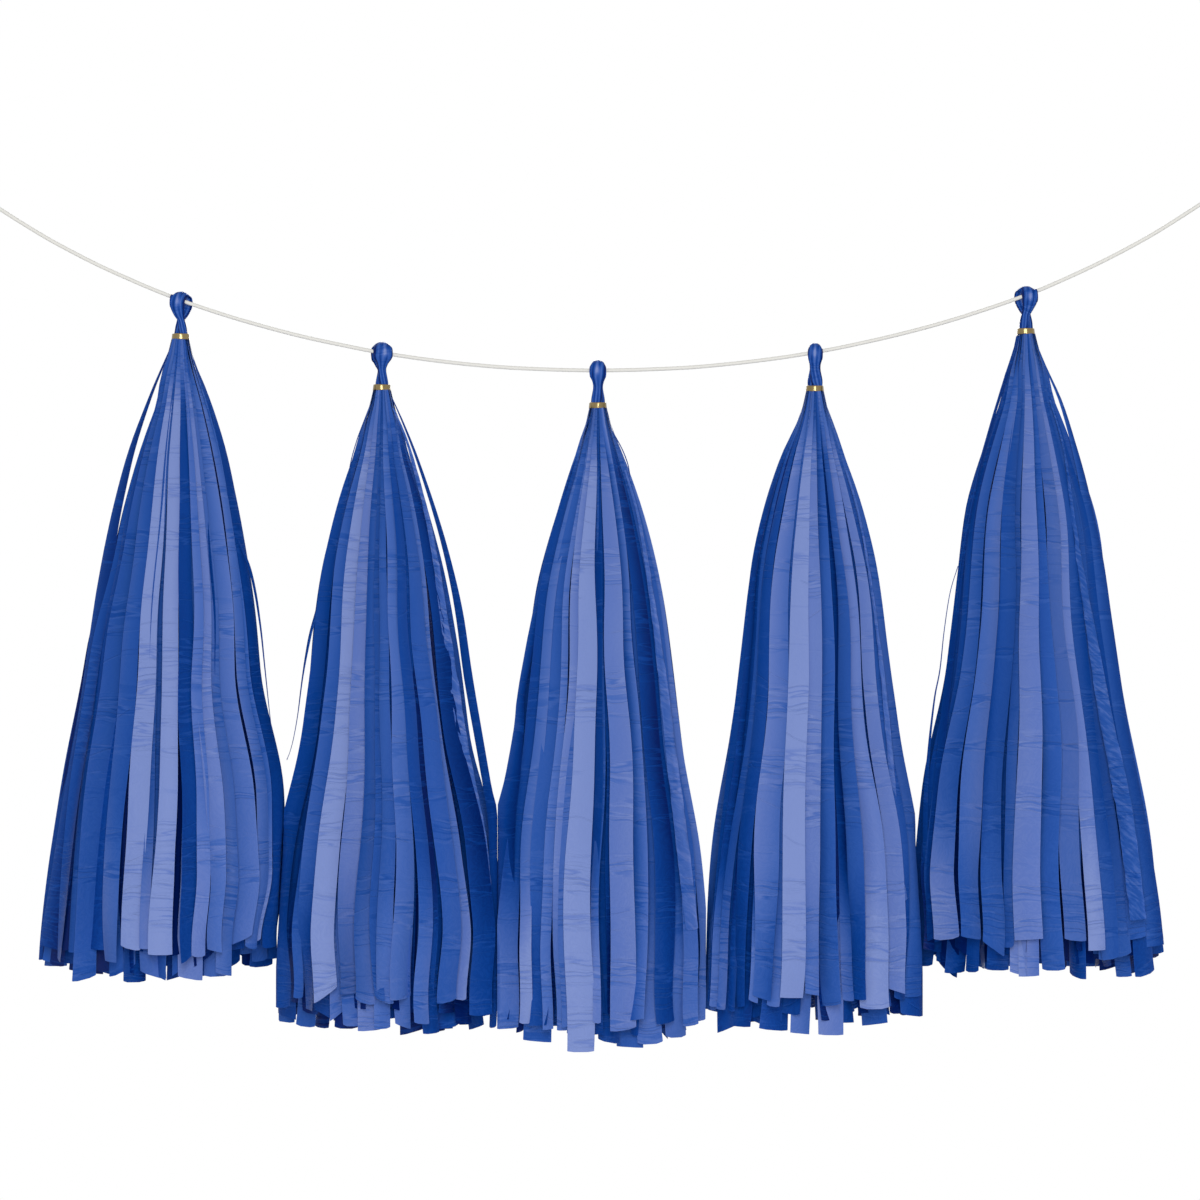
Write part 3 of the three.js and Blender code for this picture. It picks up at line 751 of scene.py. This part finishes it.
class Tassel:
    """Where one tassel hangs and how its foot spreads, as the photograph shows it."""

    def __init__(self, number):
        self.number = number
        self.body = f"tassel_{number + 1}"
        self.eye_x, self.eye_z = EYES[number]
        self.lift = LIFTS[number] * MM
        self.top = self.eye_z + self.lift - STRIP_START
        left, right = (seen_at(edge, 0, SIDE_DEPTH)[0] for edge in FOOT_EDGES[number])
        self.half_foot = (right - left) / 2
        self.lean = (left + right) / 2 - self.eye_x
        self.room = [[seen_at(edge, 0, SIDE_DEPTH)[0] for edge in edges]
                     for edges in ROOM_EDGES[number:number + 2]]
        random = np.random.default_rng(SEED * 5 + number)
        self.pushes = [(random.uniform(1, 4), random.choice([-6, -3, 3, 6]),
                        random.uniform(0, 2 * math.pi)) for _ in range(5)]
        self.slimmer, self.waist, self.hem = (np.array(table[number]) * METRES_PER_PIXEL
                                              for table in (SLIMMER, WAIST, HEM))
        self.slimmer_until = SLIMMER_UNTIL[number]

    def flare(self, shares):
        """How far it has spread, 1 at the foot. A narrow foot is only narrow low down."""
        foot_share = self.half_foot / USUAL_HALF_FOOT
        return flare_at(shares) * (1 + (1 / foot_share - 1) * np.clip(1 - shares, 0, 1))

    def middle(self, shares, across):
        """The line that strips spread from. Strips at the sides lean later than those between."""
        late = across ** 4
        return self.eye_x + self.lean * (late * shares ** 2 + (1 - late) * self.flare(shares))

    def sway(self, place, shares):
        """How far strips at this place about the tassel are pushed sideways together."""
        total = np.zeros_like(shares)
        for down_waves, around_waves, phase in self.pushes:
            total += np.sin(2 * math.pi * down_waves * shares + around_waves * place + phase)
        return SHARED_SWAY * total * smooth_step(shares, *SHARED_SWAY_FROM)

    def slimming(self, shares, across):
        """How far a strip is drawn in. across runs from -1 at the left side to 1 at the right."""
        side = 0 if across < 0 else 1
        fade = [self.slimmer_until[side] + way for way in SLIMMER_FADE]
        return (self.slimmer[side] * within(shares, SLIMMER_FROM, fade)
                + self.waist[side] * within(shares, *WAIST_SPAN)
                + self.hem[side] * within(shares, *HEM_SPAN)) * across

    def kept_apart(self, x, z):
        """The same x, but where it would reach into the room of the next tassel."""
        low = np.interp(self.eye_z / 2 - z, (ROOM_MOVES_FROM, ROOM_MOVES_TO), (0, 1))[:, None]
        first, last = (above + (below - above) * low for above, below in self.room)
        return np.clip(x, first + ROOM_MARGIN, last - ROOM_MARGIN)


def flare_at(shares):
    known, wide = (np.array(values) for values in zip(*FLARE_SHARES))
    slopes = np.gradient(wide, known)
    span = np.clip(np.searchsorted(known, shares) - 1, 0, len(known) - 2)
    step = known[span + 1] - known[span]
    t = (shares - known[span]) / step
    return ((1 + 2 * t) * (1 - t) ** 2 * wide[span] + t * (1 - t) ** 2 * step * slopes[span]
            + t * t * (3 - 2 * t) * wide[span + 1] + t * t * (t - 1) * step * slopes[span + 1])


def wander(shares, random, waves):
    """A smooth random curve from 0 at the top, about 1 high."""
    total = np.zeros_like(shares)
    for wave in range(1, waves + 1):
        phase = random.uniform(0, 2 * math.pi)
        total += (np.sin(math.pi * wave * shares + phase) - math.sin(phase)) / wave
    return total * smooth_step(shares, 0, 0.3)


def facing_camera(x):
    """The way from a strip at this x to the camera, as an angle about Z."""
    middle_x, _ = picture_place(*PICTURE_CENTRE_PIXEL)
    return math.atan2(-CAMERA_DISTANCE, middle_x - x)


def turned_for(tone):
    """How far a strip of this tone is turned away."""
    return np.radians(np.interp(tone, range(TONES), FACING_BY_TONE))


def lay_strip(tassel, x, y, z, half, angle, tone, random, crumple=0.0):
    """A strip about a middle line. angle is the way that it faces at each point of the line."""
    rows = len(z)
    tone = np.zeros(rows) + tone
    down = np.linspace(0, 1, rows)
    side = np.array(STRIP_COLUMNS)
    bow = random.uniform(-STRIP_BOW, STRIP_BOW)
    # Painted shading across the strip: lighter towards one side, and lighter or darker over its
    # bow
    painted_shading = random.normal(0, SIDE_PAINTED_SHADING) * side + BOW_PAINTED_SHADING * bow * (1 - side ** 2)
    push = bow * np.outer(half, side ** 2) * 2
    push += np.outer(wander(down, random, 12), np.ones(len(side))) * RIPPLE
    if crumple:
        push += random.normal(0, CRUMPLING, push.shape) * smooth_step(down, 0, 0.2)[:, None]
    out_x, out_y = np.cos(angle), np.sin(angle)
    lift = random.choice([0, 0, 1, -1]) * random.uniform(*FOOT_LIFT) * down ** 16
    grid_x = (x + lift * out_x)[:, None] - np.outer(half * out_y, side) + push * out_x[:, None]
    grid_y = (y + lift * out_y)[:, None] + np.outer(half * out_x, side) + push * out_y[:, None]
    grid_x = tassel.kept_apart(grid_x, z)
    slant = random.normal(0, USUAL_SLANT if random.random() < USUAL_SHARE else BOLD_SLANT)
    corner = random.uniform(0, CORNER)
    end = side * slant * half[-1] * 2 + side ** 6 * corner
    grid_z = z[:, None] + np.outer(down ** 40, end)
    return {
        "points": np.stack([grid_x, grid_y, grid_z], axis=2).reshape(-1, 3),
        "faces": grid_faces(rows, len(side)),
        "along": np.repeat(lengths_along(np.column_stack([y, z])), len(side)),
        "across": np.outer(half, side).ravel(),
        # The outer columns, the cut edges, get a painted highlight
        "rim": np.tile(np.abs(side) == 1, rows),
        "tone": ((tone[:, None] + painted_shading + 1) / TONES).ravel(),
        "seed": random.uniform(0, 10),
        "roll": tassel.number + random.uniform(0, 0.15),
        "crumple": crumple,
    }


def hanging_strip(tassel, foot, width, facing, side, tones, random, widening=0.0):
    """One strip from the band to its foot, turned to one side of the way that it faces."""
    foot_x, foot_y, foot_z = foot
    drop = tassel.top - foot_z
    down = np.linspace(0, 1, STRIP_ROWS) ** 0.9
    shares = down * drop / FLARE_LENGTH
    flare = tassel.flare(shares)
    reach = foot_x - tassel.eye_x - tassel.lean
    place = math.atan2(foot_y, reach)
    twist = math.radians(random.normal(0, TURN_STRAY)) * wander(down, random, 2)
    if random.random() < TURNED_FEET:
        foot_turn = random.choice([-1, 1]) * random.uniform(*FOOT_TURN)
        twist += math.radians(foot_turn) * down ** 6
    # Painted light and shade that alternate with the pleats near the band
    painted_pleat_shading = SHOULDER_TONE + SHOULDER_CONTRAST * math.sin(SHOULDER_PLEATS * place)
    tone = painted_pleat_shading + (tones[0] - painted_pleat_shading) * smooth_step(shares, *SHOULDER_FADES)
    foot_weight = smooth_step(shares, *FOOT_TONE_FROM)
    tone += (tones[1] - tone) * foot_weight
    aside = (facing - place + math.pi) % (2 * math.pi) - math.pi
    angle = place + aside * smooth_step(down, 0, 0.1) + side * turned_for(tone) + twist
    sway = SLOW_SWAY * wander(down, random, 3) + QUICK_SWAY * wander(down, random, 9)
    sway += tassel.sway(place, shares)
    breathe = BREATHING * wander(down, random, 3)
    outward = np.array([math.cos(place), math.sin(place)])
    across = np.clip(reach / tassel.half_foot, -1, 1)
    x = tassel.middle(shares, across) + reach * flare
    x += breathe * outward[0] - sway * outward[1] - tassel.slimming(shares, across)
    y = foot_y * flare_at(shares) + sway * outward[0] + breathe * outward[1]
    y -= np.interp(tone, range(TONES), RECESS_BY_TONE) * outward[1] * flare_at(shares)
    z = tassel.top - down * drop
    half = width / 2 * flare * np.clip(1 + WIDTH_STRAY * wander(down, random, 6), 0.8, 1.1)
    half *= 1 + widening * (1 - foot_weight)
    return lay_strip(tassel, x, y, z, half, angle, tone, random)


def placed_strip(tassel, tone, crumple, passed, random):
    """A strip that passes the given pixels of the photograph, on the tassel's surface."""
    columns, rows, widths = np.array(passed, float).T
    depth = 0.0
    for _ in range(3):
        x, z = seen_at(columns, rows, depth)
        shares = (tassel.top - z) / FLARE_LENGTH
        across = (x - tassel.middle(shares, 1)) / (tassel.half_foot * tassel.flare(shares))
        inward = math.sqrt(max(1 - float(np.median(across)) ** 2, 0.1))
        depth = -DEPTH_RADIUS * inward * flare_at(shares)
        depth -= STAND_OFF + CRUMPLED_STAND_OFF * crumple
    points, _ = spline(np.column_stack([x, depth, z]), STRIP_ROWS)
    x, y, z = points.T
    half = np.interp(-z, -seen_at(columns, rows, depth)[1], widths) * METRES_PER_PIXEL / 2
    side = 1 if np.median(across) > 0 else -1
    turned = float(turned_for(tone))
    angle = np.full(STRIP_ROWS, facing_camera(x[-1]) + side * turned)
    strip = lay_strip(tassel, x, y, z, half / math.cos(turned), angle, tone, random, crumple)
    # Slivers get no painted highlight along their edges
    if max(widths) < SLIVER_PIXELS:
        strip["rim"] = 0
    return strip


def strips_piece(name, strips, material, body, node):
    start = 0
    faces = []
    for strip in strips:
        faces += [tuple(corner + start for corner in face) for face in strip["faces"]]
        start += len(strip["points"])
    points = np.vstack([strip["points"] for strip in strips])
    attributes = {key: np.concatenate([np.full(len(strip["points"]), strip[key], float)
                                       for strip in strips])
                  for key in strips[0] if key not in ("points", "faces")}
    put_in_place(make_mesh(name, points, faces, material, attributes), body, node)


def listed_strips(tassel, rows, recess, random):
    """The strips of FRONT or BEHIND. recess is how far out they hang, as a share."""
    left, right = FOOT_EDGES[tassel.number]
    strips = []
    for first, last, end, upper_tone, tone in rows:
        across = (first + last - left - right) / (right - left)
        across = np.clip(across, -MOST_ACROSS, MOST_ACROSS)
        depth = -DEPTH_RADIUS * math.sqrt(1 - across ** 2) * recess
        x, _ = seen_at((first + last) / 2, 0, depth)
        _, z = seen_at(0, end, depth)
        _, read_z = seen_at(0, READ_AT_PIXEL[tassel.number], depth)
        share = np.array((tassel.top - read_z) / FLARE_LENGTH)
        spread = float(tassel.flare(share))
        foot_x = tassel.eye_x + tassel.lean + (x - float(tassel.middle(share, across))) / spread
        side = math.copysign(1, across)
        if abs(across) < FLANK_ACROSS:
            side = random.choice([-1, 1])
        visible = (last - first + 1) * METRES_PER_PIXEL / spread
        width = min(visible * SHOWN_WIDTH / math.cos(turned_for(tone)), STRIP_WIDTH * WIDEST)
        widening = min(STRIP_WIDTH / visible - 1, MOST_WIDENING) if upper_tone > tone else 0
        strips.append(hanging_strip(tassel, (foot_x, depth / spread, z), width,
                                    facing_camera(x), side, (upper_tone, tone), random,
                                    max(widening, 0)))
    return strips


def filling_strips(tassel, count, first_angle, last_angle, reach, longer, tones, random):
    """The strips of one row of FILLING, spread over its range of angles."""
    _, foot_z = seen_at(0, READ_AT_PIXEL[tassel.number] + FILLING_LOWER_PIXELS, 0)
    strips = []
    for i in range(count):
        share = (i + 0.5 + random.uniform(*FILLING_JITTER)) / count
        place = math.radians(first_angle + (last_angle - first_angle) * share)
        near = reach * random.uniform(*FILLING_REACHES)
        half = (tassel.half_foot - FILLING_INSET) * near
        x = tassel.eye_x + tassel.lean + half * math.cos(place)
        y = DEPTH_RADIUS * near * math.sin(place)
        z = foot_z + (random.uniform(*FILLING_SHORTER) - longer) * MM
        width = STRIP_WIDTH * random.uniform(*FILLING_WIDTHS)
        facing, side = place, random.choice([-1, 1])
        if math.sin(place) < FLANK_SINE:
            facing, side = facing_camera(x), math.copysign(1, math.cos(place))
        strips.append(hanging_strip(tassel, (x, y, z), width, facing, side,
                                    random.choice(tones, 2), random))
    return strips


def add_fringes(tassel, material):
    """The strips of the three turns of paper."""
    number = tassel.number
    random = np.random.default_rng(SEED + number)
    listed = {"outer": (FRONT[number], 1), "middle": (BEHIND[number], MIDDLE_RECESS)}
    for turn, fillings in FILLING.items():
        strips = listed_strips(tassel, *listed.get(turn, ([], 0)), random)
        for filling in fillings:
            strips += filling_strips(tassel, *filling, random)
        if turn == "outer":
            strips += [placed_strip(tassel, *placed, random) for placed in PLACED[number]]
        strips_piece(f"{tassel.body}_{turn}_strips", strips, material, tassel.body,
                     f"{tassel.body}_{turn}_fringe")


# Loops and bands

# Of each loop, in mm: middle and width of its front lobe and of its back lobe, how high it
# rides on the string, its width where it is pinched, and the way of its twist
LOOPS = [
    (-1.7, 7.2, 2.0, 7.2, 0.2, 3.8, 1), (0.7, 9.4, -1.8, 7.6, 2.1, 4.2, 1),
    (-0.1, 8.2, 0.2, 7.8, 2.1, 4.8, -1), (0.0, 7.3, 0.1, 7.0, 1.4, 5.4, 1),
    (1.8, 7.6, -2.0, 7.2, 0.2, 4.4, -1),
]
PLEATS = 3
FRONT_LOBE, BACK_LOBE = 5 / 14, 9 / 14
EYE_SLACK = 0.35 * MM
LOOP_SAMPLES = 130
LOOP_SIDES = 48
# Heights of a loop's stations about the middle of its eye, in mm, from the neck to the top
STATION_HEIGHTS = -17.4, -13.4, -9.5, -6.6, -3.4, -0.4, 2.8, 4.3
LESS_PINCHED = 0.4
SIDE_ROUNDNESS, FACE_ROUNDNESS = 0.85, 0.6
FOLD_DEPTH, FINE_FOLD_DEPTH = 0.26 * MM, 0.07 * MM
FINE_FOLDS = 2.7
DRIFT = 0.5
TOP_FLATNESS, TOP_REACH = 0.8, 0.05
# The tone of a loop, and what its folds, its sides and the glint on each lobe change: painted
# light and shade over the folds, painted shade on the sides, and a painted highlight on each lobe
LOOP_TONE = 0.38
FOLD_PAINTED_SHADING, FINE_FOLD_PAINTED_SHADING, LOOP_SIDE_PAINTED_SHADE, GLINT_TONE = 0.22, 0.08, -0.34, 0.7
GLINT_AT, GLINT_WIDTH, GLINT_LENGTH = (-0.1, 0.3), 0.28, 0.045
BAND_SIDES = 96
# Height of each corner of the band's section, as a share of its own, and how far out in mm
BAND_SECTION = [
    (-0.5, -0.55), (-0.5, -0.12), (-0.46, -0.03), (-0.3, 0.01), (-0.1, 0.0),
    (0.1, -0.01), (0.3, 0.01), (0.46, -0.03), (0.5, -0.12), (0.5, -0.55),
]
BAND_WAVES = 3, 5, 8, 13, 21
BAND_CRINKLE = 0.05 * MM
BAND_TILT, BAND_TAPER, BAND_RIM_WAVE = 0.16 * MM, 0.3 * MM, 0.1 * MM
BAND_LAP = 0.16 * MM
# The angles between which the band's end comes in over its start, and settles again
BAND_LAP_SPAN = (1.9, 2.0), (3.4, 5.5)


def side_stations(middle, width, rise, pinch, twist):
    """From the neck over one lobe, in mm: place, width, thickness and how far its edges drop
    back."""
    neck, twisted, pinched, spreading, low, widest, high, _ = STATION_HEIGHTS
    return [
        (1.5 * twist, 1.2, neck, 4.2, 3.8, 0.0),
        (0.9 * twist, 1.2, twisted, pinch + LESS_PINCHED, 3.6, 0.0),
        (0.15 * twist, 1.1, rise * 0.9 + pinched, pinch, 2.6, 0.1),
        (middle * 0.5, 2.3, rise + spreading, 5.6, 1.9, 0.6),
        (middle * 0.9, 3.4, rise + low, width, 1.4, 1.1),
        (middle, 3.8, rise + widest, width * 1.05, 1.2, 1.7),
        (middle * 0.6, 2.9, rise + high, width, 1.1, 2.1),
    ]


def loop_stations(front, front_width, back, back_width, rise, pinch, twist):
    """The same over both lobes of the strap, from the front, in metres."""
    front_way = side_stations(front, front_width, rise, pinch, twist)
    back_way = side_stations(back, back_width, rise, pinch, -twist)
    top_width = (front_width + back_width) / 2 * 0.9
    top = (0.0, 0.0, rise + STATION_HEIGHTS[-1], top_width, 1.1, 2.3)
    return np.array([(x, -y, *others) for x, y, *others in front_way]
                    + [top] + back_way[::-1]) * MM


def smooth_columns(table, samples):
    """Every column of a table of stations, as a smooth curve."""
    stations = with_ends(table)
    at = np.linspace(0, len(table) - 1, samples)
    span = np.minimum(at.astype(int), len(table) - 2)
    return between(*(stations[span + i] for i in range(4)), (at - span)[:, None])


def bump_at(values, middle, reach):
    return np.exp(-((values - middle) / reach) ** 2)


def around_string(points, tassel):
    """Leaves room for the sloping string, however far the tassel swings about the eye's middle."""
    string_z = np.interp(points[:, :, 0] + tassel.eye_x, *zip(*ROUTE))
    clear = np.abs(string_z - tassel.eye_z) + STRING_RADIUS + EYE_SLACK
    reach = np.hypot(points[:, :, 1], points[:, :, 2])
    points[:, :, 1:] *= (np.maximum(reach, clear) / reach)[:, :, None]
    return points


def add_loop(tassel, material):
    """The pleated roll of paper, bent over the string and twisted below it."""
    random = np.random.default_rng(SEED * 7 + tassel.number)
    curve = smooth_columns(loop_stations(*LOOPS[tassel.number]), LOOP_SAMPLES)
    centres, width, thickness, dome = curve[:, :3], curve[:, 3], curve[:, 4], curve[:, 5]
    ahead = directions_along(centres)
    across = np.array([1.0, 0, 0]) - ahead * ahead[:, :1]
    across /= np.linalg.norm(across, axis=1)[:, None]
    outward = np.cross(across, ahead)
    angle = round_angles(LOOP_SIDES)
    side = np.sign(np.cos(angle)) * np.abs(np.cos(angle)) ** SIDE_ROUNDNESS
    front_back = np.sign(np.sin(angle)) * np.abs(np.sin(angle)) ** FACE_ROUNDNESS
    way = np.linspace(0, 1, LOOP_SAMPLES)
    drift = DRIFT * np.sin(2 * math.pi * way) + random.uniform(0, 1)
    folds = np.cos(math.pi * PLEATS * side[None, :] + 2 * math.pi * drift[:, None])
    fine = np.cos(math.pi * FINE_FOLDS * PLEATS * side[None, :] + 5 * drift[:, None])
    flatter = 1 - TOP_FLATNESS * bump_at(way, 0.5, TOP_REACH)
    depth = np.outer(flatter, 1 - side ** 4) * (FOLD_DEPTH * folds + FINE_FOLD_DEPTH * fine)
    # Painted highlight on each lobe, painted light and shade over the folds, painted shade towards
    # the sides
    lobes = sum(bump_at(way, lobe, GLINT_LENGTH) for lobe in (FRONT_LOBE, BACK_LOBE))
    painted_glint = np.outer(lobes, bump_at(side, random.uniform(*GLINT_AT), GLINT_WIDTH))
    tone = LOOP_TONE + FOLD_PAINTED_SHADING * folds + FINE_FOLD_PAINTED_SHADING * fine
    tone += LOOP_SIDE_PAINTED_SHADE * side ** 2 + GLINT_TONE * painted_glint
    drop = dome[:, None] * (side ** 2 + side ** 6)[None, :] / 2
    push = thickness[:, None] / 2 * front_back + depth * front_back - drop
    points = swept(centres, across, outward, width[:, None] / 2 * side, push)
    points = around_string(points, tassel) + np.array([tassel.eye_x, 0, tassel.eye_z])
    attributes = {
        "along": np.repeat(lengths_along(centres), LOOP_SIDES),
        "across": np.outer(width / 2, side).ravel(),
        "rim": 0,
        "tone": tone.ravel(),
        "seed": tassel.number + 3,
        "roll": tassel.number,
        "crumple": 0,
    }
    piece = make_mesh(f"{tassel.body}_paper_loop", points.reshape(-1, 3),
                      tube_faces(LOOP_SAMPLES, LOOP_SIDES), material, attributes)
    put_in_place(piece, tassel.body, f"{tassel.body}_loop")


def add_band(tassel, material):
    """A band of crinkled gold foil, its end lapped over its start."""
    random = np.random.default_rng(SEED * 13 + tassel.number)
    angle = round_angles(BAND_SIDES)
    crinkle = np.zeros(BAND_SIDES)
    slant = np.zeros(BAND_SIDES)
    for wave in BAND_WAVES:
        crinkle += np.cos(wave * angle + random.uniform(0, 2 * math.pi)) / wave ** 0.5
        slant += np.cos(wave * angle + random.uniform(0, 2 * math.pi)) / wave
    outside = BAND_RADIUS + crinkle * BAND_CRINKLE + BAND_LAP * within(angle, *BAND_LAP_SPAN)
    rows = []
    for height, outward in BAND_SECTION:
        radius = outside + outward * MM + (slant * BAND_TILT - BAND_TAPER) * height
        z = -BAND_TOP - BAND_HEIGHT * (0.5 - height) + slant * BAND_RIM_WAVE
        rows.append(np.column_stack([radius * np.cos(angle), radius * np.sin(angle), z]))
    points = np.vstack(rows) + np.array([tassel.eye_x, 0, tassel.eye_z + tassel.lift])
    # One more row than there are, which is the first row again
    faces = [tuple(corner % len(points) for corner in face[::-1])
             for face in grid_faces(len(BAND_SECTION) + 1, BAND_SIDES, closed=True)]
    piece = make_mesh(f"{tassel.body}_foil_band", points, faces, material,
                      {"around": np.tile(angle, len(BAND_SECTION))})
    put_in_place(piece, tassel.body, f"{tassel.body}_band")


# Light and surroundings

LAMP_WIDTH = 0.8
LAMP_HEIGHT = 2.4
LAMP_DISTANCE = 3.0
LAMP_RISE = 0.5
LAMP_POWER = 68
FILL_LEVEL = 0.33
FLOOR_Z = -0.62
FLOOR_RADIUS = 0.62
FLOOR_RINGS, FLOOR_SIDES = 24, 72
FLOOR_CENTRE = 0.01
FLOOR_FADES = 0.45, 0.98
FLOOR_COLORS = (0.88, 0.88, 0.87, 1), (0.92, 0.92, 0.91, 1)
FLOOR_GRAIN = 30
FLOOR_ROUGHNESS = 0.8


def add_lamp(name, place, target):
    """A tall soft box."""
    data = bpy.data.lights.new(name, "AREA")
    data.shape = "RECTANGLE"
    data.size = LAMP_WIDTH
    data.size_y = LAMP_HEIGHT
    data.energy = LAMP_POWER
    lamp = add_object(name, data)
    lamp.location = place
    away = Vector(place) - Vector(target)
    lamp.rotation_euler = away.to_track_quat("Z", "Y").to_euler()


def floor_material():
    material = bpy.data.materials.new("pale_floor")
    nodes = Nodes(material)
    grain = nodes.noise(nodes.add("ShaderNodeTexCoord", "Object"), FLOOR_GRAIN, 3.0)
    nodes.look(nodes.blend_colors(grain, *FLOOR_COLORS), FLOOR_ROUGHNESS)
    mixed = nodes.add("ShaderNodeMixShader", 0, {
        0: nodes.steps(nodes.attribute("out"), *FLOOR_FADES),
        1: Value(nodes, nodes.shader.outputs[0]),
        2: nodes.add("ShaderNodeEmission", 0),
    })
    nodes.put(nodes.tree.nodes["Material Output"].inputs["Surface"], mixed)
    return material


def add_floor():
    """A pale round floor below the garland. It shades off to the white around it."""
    share = np.linspace(FLOOR_CENTRE, 1, FLOOR_RINGS)
    angle = round_angles(FLOOR_SIDES)
    middle_x, _ = picture_place(*PICTURE_CENTRE_PIXEL)
    x = middle_x + np.outer(share * FLOOR_RADIUS, np.cos(angle))
    y = np.outer(share * FLOOR_RADIUS, np.sin(angle))
    z = np.full(x.shape, FLOOR_Z)
    points = np.stack([x, y, z], axis=2).reshape(-1, 3)
    faces = grid_faces(FLOOR_RINGS, FLOOR_SIDES, closed=True) + [tuple(range(FLOOR_SIDES))]
    make_mesh("floor", points, faces, floor_material(),
                       {"out": np.repeat(share, FLOOR_SIDES)})


def add_world():
    """White to the camera and in reflections, and a dimmer fill light."""
    world = bpy.data.worlds.new("studio")
    bpy.context.scene.world = world
    nodes = Nodes(world, "Background")
    nodes.put(nodes.shader.inputs["Color"], (1, 1, 1, 1))
    seen = nodes.add("ShaderNodeLightPath", "Is Camera Ray")
    rays = seen.socket.node.outputs
    for ray in ("Is Glossy Ray", "Is Transmission Ray"):
        seen = nodes.math("MAXIMUM", seen, Value(nodes, rays[ray]))
    strength = nodes.add("ShaderNodeMapRange", "Result",
                         {"Value": seen, "To Min": FILL_LEVEL, "To Max": 1.0})
    nodes.put(nodes.shader.inputs["Strength"], strength)


def add_studio():
    bpy.context.scene.view_settings.view_transform = "Standard"
    add_world()
    add_floor()
    x, z = picture_place(*PICTURE_CENTRE_PIXEL)
    for name, y in (("front_light", -LAMP_DISTANCE), ("back_light", LAMP_DISTANCE)):
        add_lamp(name, (x, y, z + LAMP_RISE), (x, 0, z))


add_camera()
twine = twine_material()
string, string_centres, string_length = add_string(twine)
end_pieces = []
for end, knot, next_point, hook in (("left", ROUTE[0], ROUTE[1], LEFT_HOOK),
                                    ("right", ROUTE[-1], ROUTE[-2], RIGHT_HOOK)):
    end_pieces += add_knot(f"{end}_knot", knot, next_point, twine)
    end_pieces.append(add_hanging_loop(f"{end}_hanging_loop", knot, hook, twine))

paper = paper_material()
gold = gold_material()
for number in range(len(EYES)):
    tassel = Tassel(number)
    add_fringes(tassel, paper)
    add_loop(tassel, paper)
    add_band(tassel, gold)
add_studio()
